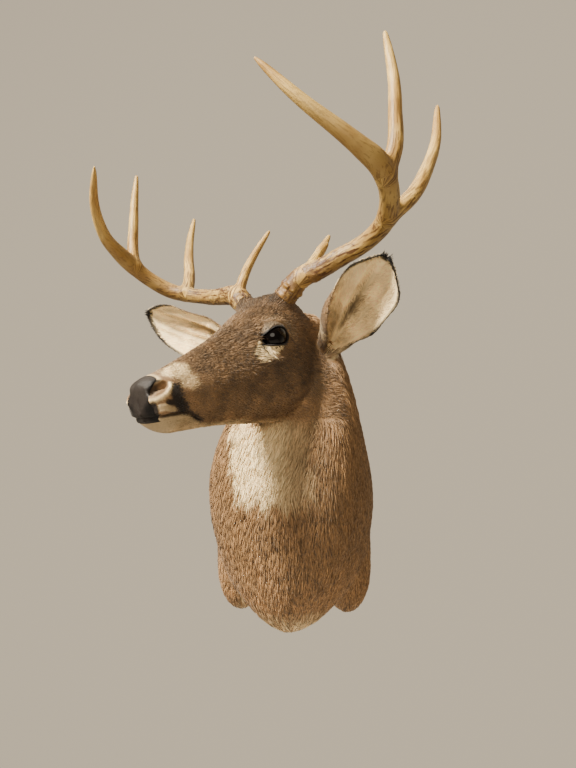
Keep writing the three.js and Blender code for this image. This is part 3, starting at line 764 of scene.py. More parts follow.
def apply_modifiers(obj):
    made = bpy.data.meshes.new_from_object(obj.evaluated_get(bpy.context.evaluated_depsgraph_get()))
    obj.modifiers.clear()
    obj.data = made


def solid_union(target, others):
    """Joins closed meshes into the target as one body."""
    for other in others:
        cut = target.modifiers.new("join", "BOOLEAN")
        cut.operation, cut.solver, cut.object = "UNION", "MANIFOLD", other
    apply_modifiers(target)
    for other in others:
        bpy.data.objects.remove(other)


def near_features(reach):
    def inside(points):
        h = to_head(points / MM)
        chosen = (-h[:, 1] > 150 - reach) & (h[:, 2] > -116)
        for side in SIDES:
            local = in_eye_frame(h, side)
            chosen |= (np.hypot(local[:, 0] - 2, local[:, 1] - 1) < 25 + reach) & (local[:, 2] > -8)
            chosen |= line_distance(h, MOUTH_LINE, side) < 6 + reach
        return chosen

    return inside


def lids_distance(h, side):
    """Distance to the edge of the opening between the lids, negative inside, and 99 away from the eye."""
    local = in_eye_frame(h, side)
    close = (np.hypot(local[:, 0], local[:, 1]) < 34) & (local[:, 2] > -8)
    out = np.full(len(h), 99.0)
    out[close] = outline_distance(local[close, :2], lids_outline())
    return out


def near_edges(points):
    """Close to the lids' edges, the nostrils and the mouth."""
    h = to_head(points / MM)
    chosen = np.zeros(len(h), bool)
    for side in SIDES:
        chosen |= np.abs(lids_distance(h, side)) < 4.5
        for line, width in ((NOSTRIL_SLIT, 7), (TEAR_SLIT, 4), (MOUTH_LINE, 3)):
            chosen |= line_distance(h, line, side) < width
    return chosen


def build_skin():
    points, quads = flesh_mesh()
    mesh = refined(points * MM, quads, (near_features(8), near_edges))
    skin = bpy.data.objects.new("skin", mesh)
    bpy.context.scene.collection.objects.link(skin)
    relax(mesh, np.ones(len(mesh.vertices)), 3)
    co = points_of(skin)
    h = to_head(co)
    normal = normals_of(skin) @ head_matrix[:3, :3]
    h = h + normal * shape_face(h)[:, None]
    for side in SIDES:
        h = shape_eye(h, side)
    mesh.vertices.foreach_set("co", (from_head(h) * MM).ravel())
    mesh.update()
    flesh_points = from_head(h)
    forms = [ear_form(side) for side in SIDES]
    solid_union(skin, [mesh_object(f"ear_form_{i}", *form) for i, form in enumerate(forms)])
    mesh = skin.data
    mesh.materials.clear()
    joined = points_of(skin)
    ear_points = np.vstack([points for points, _ in forms])
    to_flesh, to_ear = distance_to(flesh_points, joined), distance_to(ear_points, joined)
    relax(mesh, step(11, 4, to_flesh) * step(11, 4, to_ear), 8, keep_volume=False)
    far_out = np.abs(to_head(joined)[:, 0]) > 66
    set_attribute(skin, "ear", (to_ear < 3.2) & ((to_flesh > 4) | far_out))
    mesh.polygons.foreach_set("use_smooth", np.full(len(mesh.polygons), True))
    return skin


# ---- eyes ----


def build_eye(side, name):
    """A glass eye: a ball with a low cornea over its front."""
    centre, forward, up, look = eye_frame(side)
    theta = np.linspace(0, np.pi, EYE_RINGS)[1:-1]
    phi = np.linspace(0, 2 * np.pi, EYE_SIDES, endpoint=False)
    bulge = 0.5 * np.exp(-((theta / 0.55) ** 4))
    r = (EYE_RADIUS - EYE_GAP + bulge)[:, None]
    ring = (
        look * (r * np.cos(theta)[:, None] * np.ones(len(phi)))[..., None]
        + forward * (r * np.sin(theta)[:, None] * np.cos(phi))[..., None]
        + up * (r * np.sin(theta)[:, None] * np.sin(phi))[..., None]
    )
    return mesh_object(name, *loft(from_head(centre + ring)))


# ---- nose ----


def build_nose(skin):
    """The bare nose: a thin cap of leather over the skin's front, its edge tucked into the hair."""
    co, normals, tris = points_of(skin), normals_of(skin), triangles_of(skin)
    distance = pad_distance(to_head(co))
    keep = (distance[tris] < 2.2).all(1)
    used, faces = np.unique(tris[keep], return_inverse=True)
    faces = faces.reshape(-1, 3)
    lift = blend(0.45, -0.9, step(0.4, 2.2, distance[used]))
    nose = mesh_object("nose_leather", co[used] + normals[used] * lift[:, None], faces)
    x, _, z = to_head(co[used]).T
    # Darker on the nose's lower part and its sides, where it turns from the light: painted shade.
    below, beside = step(-74, -84, z) * step(5, 14, np.abs(x)), step(14, 19, np.abs(x)) * step(-50, -56, z)
    set_attribute(nose, "low", np.maximum(below, beside))
    thick = nose.modifiers.new("thick", "SOLIDIFY")
    thick.thickness, thick.offset = LEATHER_THICK * MM, -1
    apply_modifiers(nose)
    return nose


NOSE_CELL, NOSE_CLOUD = 1.613, 11.11  # millimetres across


def nose_material():
    """The nose's bare skin, dried and painted: nearly black, its low shine broken by fine pebbled cells."""
    made, tree, shader = new_material("nose_leather", Roughness=0.48, Specular_IOR_Level=0.28)
    place = add(tree, "ShaderNodeTexCoord").outputs["Object"]
    cells = add(
        tree, "ShaderNodeTexVoronoi", {"Vector": place, "Scale": per(NOSE_CELL)}, feature="DISTANCE_TO_EDGE"
    ).outputs["Distance"]
    cracks = add(tree, "ShaderNodeMapRange", {"Value": cells, "From Max": 0.25}).outputs[0]
    clouding = {"Vector": place, "Scale": per(NOSE_CLOUD), "Detail": 3.0}
    clouds = add(tree, "ShaderNodeTexNoise", clouding).outputs["Fac"]
    low = add(tree, "ShaderNodeAttribute", attribute_name="low").outputs["Fac"]
    colour = linear("15110f")
    # Grey clouds at random, then the painted shade of the low mark on the lower part and sides.
    for share, code in ((clouds, "302a26"), (low, "0a0808")):
        coats = {0: share, 6: colour, 7: linear(code)}
        colour = add(tree, "ShaderNodeMix", coats, data_type="RGBA").outputs[2]
    tree.links.new(colour, shader.inputs["Base Color"])
    bump = add(tree, "ShaderNodeBump", {"Height": cracks, "Strength": 0.35, "Distance": 0.5 * MM})
    tree.links.new(bump.outputs["Normal"], shader.inputs["Normal"])
    return made


# ---- antlers ----


def antler_parts(side):
    """Tubes of one antler, each as centres, tangents and radii."""
    name = "left" if side > 0 else "right"
    mirror = np.array((side, 1, 1))
    parts = []
    at, tangent = open_curve(from_head(np.array(BEAM_PATHS[name]) * mirror), BEAM_RINGS)
    parts.append((at, tangent, stations(BEAM_RADII, np.linspace(0, 1, BEAM_RINGS))[:, 0]))
    for radius, left, right in TINES.values():
        path = np.array(left if side > 0 else right) * mirror
        at, tangent = open_curve(from_head(path), TINE_RINGS)
        parts.append((at, tangent, radius * (1 - np.linspace(0, 1, TINE_RINGS)) ** TINE_BLUNTNESS + 1))
    if side > 0:
        at, tangent = open_curve(from_head(np.array(BROW_SPUR)), SPUR_RINGS)
        parts.append((at, tangent, 4 * (1 - np.linspace(0, 1, SPUR_RINGS)) + 1))
    return parts


def build_antler(side, name):
    parts = antler_parts(side)
    everywhere = np.vstack([p[0] for p in parts])
    field = Field(everywhere.min(0) - 26, everywhere.max(0) + 26, ANTLER_VOXEL, 12)
    joined = None
    for at, tangent, radii in parts:
        tube = field.of(*loft(tube_rings(at, tangent, radii)))
        joined = tube if joined is None else soft_join(joined, tube, TINE_FILLET)
    beam_at, beam_tangent, _ = parts[0]
    k = int(BURR_AT * len(beam_at))
    rel = field.places() - beam_at[k]
    close = np.abs(rel).max(axis=-1) < 34
    rel = rel[close]
    axial = rel @ beam_tangent[k]
    around = rel - axial[..., None] * beam_tangent[k]
    radial = np.linalg.norm(around, axis=-1)
    pearls = 1.6 * noise(around, 6, 3) + 1.2 * noise(rel, 4.2, 4)
    burr = np.hypot(radial - BURR_RING, axial * 1.15) - BURR_HALF - pearls * step(8, 16, radial)
    joined[close] = soft_join(joined[close], burr, BURR_FILLET)
    points, quads = field.surface(joined)
    tree = search_tree(everywhere)
    nearest = np.array([tree.find(p)[1] for p in points])
    tangents = np.vstack([p[1] for p in parts])[nearest]
    radii = np.concatenate([p[2] for p in parts])[nearest]
    shares = [np.linspace(0, 1, len(p[0])) for p in parts]
    long = [np.linalg.norm(np.diff(p[0], axis=0), axis=1).sum() for p in parts]
    along = np.concatenate([np.linspace(0, end, len(share)) for end, share in zip(long, shares)])
    share = np.concatenate(shares)[nearest]
    first = np.concatenate([np.full(len(p[0]), i == 0) for i, p in enumerate(parts)])[nearest]
    rel = points - everywhere[nearest]
    out = unit(rel - (rel * tangents).sum(1, keepdims=True) * tangents)
    grain = out * 11 + tangents * (along[nearest] * 0.12)[:, None]
    grooves = noise(grain, 3.4, 5)
    rough = np.where(first, step(0.75, 0.1, share), step(0.8, 0.0, share) * 0.7)
    points = points + out * ((-0.75 * np.abs(grooves) + 0.25) * rough * np.minimum(radii / 9, 1))[:, None]
    pearl = noise(points, 4.6, 6) + 0.5 * noise(points, 2.6, 7)
    pearled = np.where(first, step(0.42, 0.04, share), 0.12)
    points = points + out * (1.25 * np.clip(pearl, -0.2, 1) * pearled)[:, None]
    antler = mesh_object(name, points, quads)
    # The underside of the beam's lower part, darkened in the material: painted shade, with some stain.
    under = step(0.25, -0.7, out[:, 2]) * step(0.55, 0.1, share) * first
    share = np.where(first, share * 0.9, 0.35 + 0.65 * share)
    marks = {"share": share, "beam": first.astype(float), "groove": grooves, "pearl": pearl, "under": under}
    for key, value in marks.items():
        set_attribute(antler, key, value)
    vector = antler.data.attributes.new("grain", "FLOAT_VECTOR", "POINT")
    vector.data.foreach_set("vector", grain.astype(np.float32).ravel())
    return antler


# Millimetres across in the antlers' finish, a streak's across the grain.
STREAK, CLOUD, PIT = 2.381, 38.46, 2.381


def antler_material():
    """Rubbed and weathered antler: satin bone, pale at the points, with brown staining held in its grooves,
    between its pearls and towards the burr. Its underside and the upturned beam are darker as painted shade, with
    some stain."""
    made, tree, shader = new_material("antler_bone", Roughness=0.5, Specular_IOR_Level=0.4)
    place = add(tree, "ShaderNodeTexCoord").outputs["Object"]
    grain = add(tree, "ShaderNodeAttribute", attribute_name="grain").outputs["Vector"]
    v = {
        name: add(tree, "ShaderNodeAttribute", attribute_name=name).outputs["Fac"]
        for name in ("share", "groove", "pearl", "under", "beam")
    }
    for name, where, scale, detail in (
        ("streaks", grain, 1 / STREAK, 5.0), ("clouds", place, per(CLOUD), 3.0), ("pits", place, per(PIT), 4.0)
    ):
        v[name] = add(
            tree, "ShaderNodeTexNoise", {"Vector": where, "Scale": scale, "Detail": detail}
        ).outputs["Fac"]
    v["depth"] = add(tree, "ShaderNodeMath", {0: v["groove"]}, operation="ABSOLUTE").outputs[0]
    for name, source, low, high in (
        ("lower", "share", 0.74, 0.1), ("streaked", "streaks", 0.43, 0.6), ("crevice", "depth", 0.3, 0.75),
        ("valley", "pearl", 0.12, -0.25), ("pearled", "share", 0.42, 0.1), ("burr", "share", 0.2, 0.03),
        ("first_part", "share", 0.85, 0.6), ("clouded", "clouds", 0.35, 0.65), ("pit", "pits", 0.6, 0.72),
    ):
        limits = {"Value": v[source], "From Min": low, "From Max": high}
        v[name] = add(tree, "ShaderNodeMapRange", limits).outputs[0]
    for name, a, operation, b in (
        ("raised", "lower", "ADD", 0.5),
        ("stain_and_shade", "streaked", "MULTIPLY", "raised"),
        ("in_grooves", "crevice", "MULTIPLY", "lower"),
        ("stain_and_shade", "stain_and_shade", "MAXIMUM", "in_grooves"),
        # The underside's darkening: painted shade, with some stain.
        ("below", "under", "MULTIPLY", 0.85),
        ("stain_and_shade", "stain_and_shade", "MAXIMUM", "below"),
        ("between", "valley", "MULTIPLY", "pearled"),
        ("stain_and_shade", "stain_and_shade", "MAXIMUM", "between"),
        ("at_burr", "burr", "MULTIPLY", 0.75),
        ("stain_and_shade", "stain_and_shade", "MAXIMUM", "at_burr"),
        # Brown along the beam: stain, with painted shade where the beam turns up.
        ("on_beam", "beam", "MULTIPLY", "first_part"),
        ("along_beam", "on_beam", "MULTIPLY", 0.5),
        ("stain_and_shade", "stain_and_shade", "MAXIMUM", "along_beam"),
        ("stain_and_shade_share", "stain_and_shade", "MULTIPLY", 0.86),
        ("pit_share", "lower", "MULTIPLY", 0.75),
        ("pitted", "pit", "MULTIPLY", "pit_share"),
        ("half_pits", "pits", "MULTIPLY", 0.5),
        ("relief", "streaks", "ADD", "half_pits"),
    ):
        v[name] = add(tree, "ShaderNodeMath", {0: v[a], 1: v.get(b, b)}, operation=operation).outputs[0]
    colour = linear("dbb768")
    # Bone, then clouds, then brown for stain and painted shade, then pits.
    for share, code in (("clouded", "b18a48"), ("stain_and_shade_share", "54371c"), ("pitted", "33200f")):
        coats = {0: v[share], 6: colour, 7: linear(code)}
        colour = add(tree, "ShaderNodeMix", coats, data_type="RGBA").outputs[2]
    tree.links.new(colour, shader.inputs["Base Color"])
    bump = add(tree, "ShaderNodeBump", {"Height": v["relief"], "Strength": 0.5, "Distance": 0.8 * MM})
    tree.links.new(bump.outputs["Normal"], shader.inputs["Normal"])
    return made


# ---- the board and its hanger ----


GRAIN_WIDE, GRAIN_LONG, PLY_THICK, SPANGLE = 5.556, 83.33, 2.618, 6.25  # millimetres
WAVE_PERIOD = math.pi / 10  # of Blender's wave pattern at a scale of 1


def plywood_material():
    """Birch plywood, its face sanded and its edge sawn: matt and pale, with long grain and darker plies."""
    made, tree, shader = new_material("birch_plywood", Roughness=0.6)
    place = add(tree, "ShaderNodeTexCoord").outputs["Object"]
    drawn_out = (per(GRAIN_WIDE), per(GRAIN_WIDE), per(GRAIN_LONG))
    grain = add(tree, "ShaderNodeMapping", {"Vector": place, "Scale": drawn_out}).outputs["Vector"]
    streaks = add(tree, "ShaderNodeTexNoise", {"Vector": grain, "Scale": 1.0, "Detail": 4.0}).outputs["Fac"]
    banding = {"Vector": place, "Scale": WAVE_PERIOD * per(PLY_THICK), "Distortion": 0.3}
    plies = add(tree, "ShaderNodeTexWave", banding, bands_direction="Y").outputs["Fac"]
    colour = linear("b98f5c")
    for share, code in ((streaks, "dcbb88"), (plies, "a87c4a")):
        coats = {0: share, 6: colour, 7: linear(code)}
        colour = add(tree, "ShaderNodeMix", coats, data_type="RGBA").outputs[2]
    tree.links.new(colour, shader.inputs["Base Color"])
    bump = add(tree, "ShaderNodeBump", {"Height": streaks, "Strength": 0.2, "Distance": 0.3 * MM})
    tree.links.new(bump.outputs["Normal"], shader.inputs["Normal"])
    return made


def steel_material():
    """Zinc-plated steel sheet, stamped: a light grey metal with a soft gleam and a faint spangle."""
    made, tree, shader = new_material("zinc_plated_steel", Metallic=1.0, Roughness=0.38)
    place = add(tree, "ShaderNodeTexCoord").outputs["Object"]
    crystals = {"Vector": place, "Scale": per(SPANGLE), "Detail": 3.0}
    spangle = add(tree, "ShaderNodeTexNoise", crystals).outputs["Fac"]
    greys = {0: spangle, 6: linear("8f9294"), 7: linear("b4b7b8")}
    colour = add(tree, "ShaderNodeMix", greys, data_type="RGBA").outputs[2]
    tree.links.new(colour, shader.inputs["Base Color"])
    return made


# ---- coat ----


def ear_place(h, normal, side):
    """Where points lie on an ear: share of its length, angle round its keel, and distance from the margin."""
    root, axis, along, facing, across = ear_axes(side)
    at = (h - root) @ along / np.linalg.norm(axis)
    crown_radius, outer_radius, inner, outer, _ = stations(EAR_LINES[side], np.clip(at, 0, 0.99)).T
    rel = h - ear_keel(at, side)
    sideways = rel @ across
    radius = np.where(sideways < 0, crown_radius, outer_radius)
    depth = radius - rel @ facing
    angle = np.degrees(np.arctan2(sideways, depth))
    centre = h - rel + facing * radius[:, None]
    inside = (normal * (centre - h)).sum(1) > 0
    around = np.radians(1) * np.hypot(sideways, depth)
    lateral = (outer - angle) * around
    margin = np.minimum.reduce([(angle + inner) * around, lateral, (1 - at) * np.linalg.norm(axis)])
    return {"at": at, "angle": angle, "inside": inside, "margin": margin, "lateral": lateral}


def blob(h, centre, radii, side=0):
    """1 at a centre and 0 outside an ellipsoid about it. Places are out, ahead and up."""
    out, ahead, up = centre
    rel = h - ((side or 1) * out, -ahead, up)
    return step(1.25, 0.65, np.linalg.norm(rel / radii, axis=1))


def region_of(points, normals, on_ear):
    """Everything the coat needs to know about places on the skin."""
    h = to_head(points)
    n = normals @ head_matrix[:3, :3]
    ahead = -h[:, 1]
    wobble = noise(points, 14, 1)
    fine = noise(points, 5, 2)
    left, right = ear_place(h, n, 1), ear_place(h, n, -1)
    ear = {k: np.where(h[:, 0] > 0, left[k], right[k]) for k in left}
    ear["on"] = on_ear > 0.5
    ear["inside"] = ear["inside"] & ear["on"]
    neck = np.maximum(step(-62, -108, ahead + 4 * wobble), step(-106, -124, h[:, 2]) * step(60, 20, ahead))
    neck = np.where(ear["on"], 0, neck)
    return {"p": points, "n": normals, "h": h, "ahead": ahead, "wobble": wobble, "fine": fine,
            "ear": ear, "neck": neck, "side": np.where(h[:, 0] > 0, 1, -1)}


NOSE_OUTLINE = ((190, -46), (178, -46), (171, -49), (174, -53), (178.5, -58), (181.5, -64), (183, -70),
                (181, -76), (176, -80), (171, -86), (169, -93), (171, -98), (190, -99.5))


def pad_distance(h):
    """Distance to the bare nose's outline seen from the side, negative inside."""
    flat = np.stack([-h[:, 1], h[:, 2]], axis=1)
    out = np.full(len(h), 50.0)
    near = (flat[:, 0] > 150) & (flat[:, 1] > -112)
    out[near] = outline_distance(flat[near], closed_curve(np.array(NOSE_OUTLINE, float), 6))
    widest = np.interp(h[:, 2], (-98, -84, -72, -50), (18.5, 19.5, 17.5, 19))
    return np.maximum(out, np.abs(h[:, 0]) - widest)


def markings(r):
    """The coat's colours at each place: how white, black and warm it is, and its tone. Some marks in them are
    painted light and painted shade.
    """
    h, p, ahead, wobble, fine, ear = r["h"], r["p"], r["ahead"], r["wobble"], r["fine"], r["ear"]
    x, y, z = p.T
    mirror = np.abs(h[:, 0])
    hs = np.stack([mirror, h[:, 1], h[:, 2]], axis=1)
    hz = h[:, 2]
    left_edge = -41 + 0.18 * (127 - z)
    # The white throat patch. Its fade to brown towards the right (+x) is painted shade, the jaw's shadow on the
    # white hair.
    throat = step(-7, 6, x - left_edge + 5 * wobble + 2 * fine) * (1 - 0.7 * step(24, 66, x + 8 * wobble))
    throat *= step(100, 72, x + 8 * wobble) * step(42, 66, z + 12 * wobble + 6 * fine) * step(-195, -215, y)
    throat *= r["neck"] * step(0.2, -0.15, r["n"][:, 1]) * step(250, 225, z)
    lips = np.interp(ahead, [p[1] for p in reversed(MOUTH_LINE)], [p[2] for p in reversed(MOUTH_LINE)])
    # The white chin is kept faint: painted shade over its white hair.
    chin = 0.26 * step(0.5, -2.5, hz - lips - 0.8 * fine) * step(108, 122, ahead + 5 * wobble)
    # Pale under the jaw: its pale hair, with painted light for the bounce light in the head's shade.
    under = 0.3 * step(-104, -110, hz) * step(20, 50, ahead)
    ragged = hs + np.stack([fine, 5 * fine, 3 * wobble], axis=1)
    band = 0.64 * blob(ragged, (12, 142, -41), (17, 17, 13)) * step(0, 7, mirror + 2 * fine)
    band = np.maximum(band, 0.34 * blob(ragged, (24, 135, -54), (12, 15, 12)))
    rim = step(5.5, 1.0, np.abs(pad_distance(h) - 1.5)) * step(-62, -50, hz) * 0.35

    def near_line(line, reach, full):
        return step(reach, full, line_distance(hs, line, 1))

    fold = 0.56 * near_line(NOSTRIL_FOLD, 4.0, 2.0)
    eye = in_eye_frame(hs, 1)
    f, u = eye[:, 0], eye[:, 1]
    at_eye = (np.hypot(f, u) < 45) & (eye[:, 2] > -12)
    flat = np.stack([f, u], 1)
    patch = np.zeros(len(h))
    patch_outline = closed_curve(np.array(EYE_PATCH, float), 4)
    patch[at_eye] = step(1.5, -1.5, outline_distance(flat[at_eye], patch_outline))
    ring = step(3.5, 0.5, np.abs(np.hypot(f + 1, u) - 25)) * step(-4, 6, u) * at_eye * 0.06
    lid = step(5, 1, np.abs(np.hypot(f + 1, u * 1.05) - 16.5)) * step(2, 8, u) * at_eye * 0.12
    # The ear's canal loses its white: painted shade in the hollow.
    hollow = bell(ear["angle"] + 2 + 3 * fine, 7) * step(0.14, 0.26, ear["at"]) * step(0.78, 0.42, ear["at"])
    brown_side = step(-8, -26, ear["angle"] + 8 * wobble) * step(0.5, 0.3, ear["at"] + 0.04 * fine)
    seam = step(1.0, 5.0, ear["margin"]) + step(0, 8, ear["angle"])
    inside = ear["inside"] * (1 - 0.5 * brown_side) * (1 - 0.92 * hollow)
    inside = inside * np.clip(seam + step(0.6, 0.7, ear["at"]), 0.15, 1)
    base_hair = 0.5 * (ear["on"] & ~ear["inside"]) * step(0.3, 0.14, ear["at"])
    base_hair = base_hair * step(-0.5, 0.5, noise(p, 9, 14))
    root_hair = 0.5 * blob(hs, (90, -66, 4), (24, 40, 14)) * step(-0.6, 0.4, fine)
    lip = 0.24 * near_line(PALE_LIP, 5, 3)
    hem = 0.3 * step(-12, -3, y) * step(0, -70, z)
    # Pale at the brisket: its whitish fringe, made stronger as painted light against the shade of its downward
    # face.
    brisket = step(-1.0, 0.4, noise(p, 6, 8)) * step(-104, -150, z) * step(90, 62, np.abs(x - 10)) * 0.8
    white = np.maximum.reduce([throat, chin, under, band, rim, fold, patch, ring, lid, inside, base_hair,
                               root_hair, lip, hem, brisket])

    by_fold = [share * near_line(line, *reach) for line, share, *reach in DARK_BY_FOLD]
    lines = [share * near_line(line, *reach) for line, share, *reach in DARK_LINES]
    # Dark in the nostril's slit: the brown skin inside, darkened as painted shade for the opening's depth.
    nostril = 0.8 * near_line(NOSTRIL_SLIT, 6.5, 3.5) * (1 - fold)
    # Dark in the ear's canal and along the folds between its ridges: painted shade, with darker skin between the
    # rows of hair in the folds.
    crease = bell(ear["angle"] + 2, 4) * step(0.3, 0.45, ear["at"]) * step(0.92, 0.74, ear["at"])
    creases = bell(ear["angle"] - 25, 3) + bell(ear["angle"] + 42, 4)
    creases = creases * step(0.2, 0.32, ear["at"]) * step(0.9, 0.75, ear["at"])
    in_ear = (0.42 * hollow + 0.3 * crease + 0.2 * creases) * ear["inside"]
    rim_dark = np.zeros(len(h))
    rim_dark[at_eye] = step(3.6, 1.8, outline_distance(flat[at_eye], lids_outline()))
    tip = step(0.945, 0.99, ear["at"] + 0.01 * fine) * ear["on"]
    lateral = step(5.5, 2.5, ear["lateral"]) * step(0.3, 0.45, ear["at"]) * ear["on"] * (0.8 + 0.4 * wobble)
    band_wide = 3 + 4.5 * step(0.72, 0.95, ear["at"])
    crown_side = step(2, -1, ear["margin"] - band_wide) * step(0.66, 0.8, ear["at"]) * ear["on"] * 0.95
    outside_dark = (ear["on"] & ~ear["inside"]) * step(0.6, 0.97, ear["at"]) * 0.22
    black = np.maximum.reduce([np.maximum.reduce(by_fold) * (1 - 1.7 * fold), *lines, nostril, in_ear, rim_dark,
                               tip, lateral, crown_side, outside_dark])

    crown = blob(hs, (0, -40, 66), (60, 62, 40))
    warm = 0.14 + 0.34 * crown + 0.62 * r["neck"] + 0.12 * wobble
    warm = np.maximum(warm, 0.6 * step(70, 20, z) * r["neck"])
    tone = 1 + 0.16 * wobble * (1 - r["neck"]) + 0.10 * fine
    cheek = blob(hs, (45, 35, -60), (30, 70, 40))
    tone *= 1 - 0.14 * cheek * (0.6 + 0.6 * noise(p, 9, 12))
    # The crown is darker brown. The lower face is made lighter: painted light, for bounce light in the head's own
    # shade.
    tone *= 1 - 0.55 * crown + 0.9 * step(-30, -100, hz) * (1 - r["neck"])
    # Darker along the crease above the upper lid: painted shade. Lighter inside the ears: painted light, for light
    # shining through them.
    brow = step(6, 2, np.abs(np.hypot(f + 1, u * 1.05) - 17.5)) * step(0, 5, u) * at_eye
    tone *= (1 + 0.1 * ear["inside"]) * (1 - 0.38 * brow)
    tone *= 1 + 0.5 * step(0, -110, z) * r["neck"]
    tone *= 1 + 0.16 * noise(p, 13, 12) * (1 - r["neck"])
    tone *= 1 - 0.32 * near_line(PALE_LIP, 7, 4) - 0.24 * step(112, 135, ahead) * step(0, -3, hz - lips)
    shares = {"white": white, "dark": black, "warm": warm}
    return {**{key: np.clip(value, 0, 1) for key, value in shares.items()}, "tone": tone}


def lie_of_coat(r):
    """The way the hair lies at each place, along the surface."""
    h, ear = r["h"], r["ear"]
    n = len(h)
    side = r["side"]
    head = np.stack([side * 0.12, np.ones(n), -0.28 + 0.5 * step(0, 50, h[:, 2])], axis=1)
    swirl = noise(h, 26, 21) * 0.55 * step(-20, -45, h[:, 2]) + 0.22 * noise(h, 11, 22)
    head[:, 2] += swirl
    head[:, 0] += 0.25 * noise(h, 18, 23)
    local = [in_eye_frame(h, s) for s in SIDES]
    eye = np.where((side > 0)[:, None], local[0], local[1])
    away = np.hypot(eye[:, 0] - 10, eye[:, 1])
    ring = step(34, 20, np.hypot(eye[:, 0], eye[:, 1]))
    radial = np.zeros((n, 3))
    for s in SIDES:
        _, forward, up, _ = eye_frame(s)
        on = side == s
        radial[on] = forward * ((eye[on, 0] - 14) / away[on])[:, None] + up * (eye[on, 1] / away[on])[:, None]
    head = blend(unit(head), radial, (0.75 * ring)[:, None])
    for s in SIDES:
        _, _, along, facing, across = ear_axes(s)
        on = ear["on"] & (side == s)
        lean = np.where(ear["inside"], 0.6, 0.15) * np.sign(ear["angle"]) * step(0, 12, ear["margin"])
        head[on] = along + across * lean[on, None] + facing * 0.1
    flow = head @ head_matrix[:3, :3].T
    p = r["p"]
    down = np.stack([np.zeros(n), np.full(n, 0.42), -np.ones(n)], axis=1)
    down[:, 0] += 0.22 * noise(p, 45, 24) + 0.15 * noise(p, 16, 25)
    down[:, 1] += 0.2 * noise(p, 40, 26) + 0.5 * step(-60, 60, p[:, 2]) * step(-230, -120, p[:, 1])
    flow = blend(unit(flow), unit(down), r["neck"][:, None])
    flow = flow - r["n"] * (flow * r["n"]).sum(1, keepdims=True)
    return unit(flow)


def fur_size(r):
    """The tufts' length, width and lift in degrees at each place, and how many there are to a square millimetre."""
    h, p, ahead, ear, neck = r["h"], r["p"], r["ahead"], r["ear"], r["neck"]
    length = blend(12, 6.0, step(20, 135, ahead))
    length = blend(length, 16, step(-10, -70, ahead))
    length = length * blend(1, 0.55, step(150, 162, ahead))
    length = blend(length, 25, neck)
    length = length * blend(1, 1.25, step(-90, -165, p[:, 2]) * neck)
    eye_near = np.minimum.reduce([np.hypot(*in_eye_frame(h, s)[:, :2].T) + 99 * (h[:, 0] * s < 0) for s in SIDES])
    length = length * blend(1, 0.5, step(28, 19, eye_near) * (h[:, 1] < 40) * (np.abs(h[:, 0]) > 30))
    base_hair = step(0.3, 0.05, ear["at"])
    in_ear = (11 + 9 * base_hair) * blend(0.4, 1, step(2, 14, ear["margin"]))
    length = np.where(ear["on"], np.where(ear["inside"], in_ear, 7.5 + 9 * base_hair), length)
    width = blend(1.35, 0.9, step(20, 135, ahead))
    width = blend(width, 2.1, neck)
    width = np.where(ear["on"], 1.15, width)
    lift = blend(17, 14, neck) + 8 * blob(h, (0, -52, 66), (62, 40, 30))
    lift = np.where(ear["on"], np.where(ear["inside"], 9, 11 + 6 * base_hair), lift)
    cover = blend(2.7, 3.9, neck)
    cover = np.where(ear["on"], 2.3, cover)
    density = cover / (length * width * 0.62)
    return length, width, lift, density


TUFT_SIDES = 3
WALL_GAP = -2.2  # hair by the board's rim is pressed flat against the wall
BAKE_PATCH = (0.0026, 0.0028)  # the size of a tuft's patch on the baking map
HAIR_BANDS = ((0.0, "949494"), (0.45, "bcbcbc"), (0.72, "989898"), (0.86, "dcdcdc"), (1.0, "f0f0f0"))


class Ground:
    """The skin's points and normals, to find the surface near any place."""

    def __init__(self, skin):
        self.points, self.normals = points_of(skin), normals_of(skin)
        self.tree = search_tree(self.points)

    def onto(self, places, like):
        """Places moved onto the surface, except where it faces away from the direction they should be like."""
        near = np.array([self.tree.find(p)[1] for p in places])
        normal = self.normals[near]
        off = ((places - self.points[near]) * normal).sum(1)
        follows = (normal * like).sum(1) > 0.3
        return places - normal * (off * follows)[:, None]


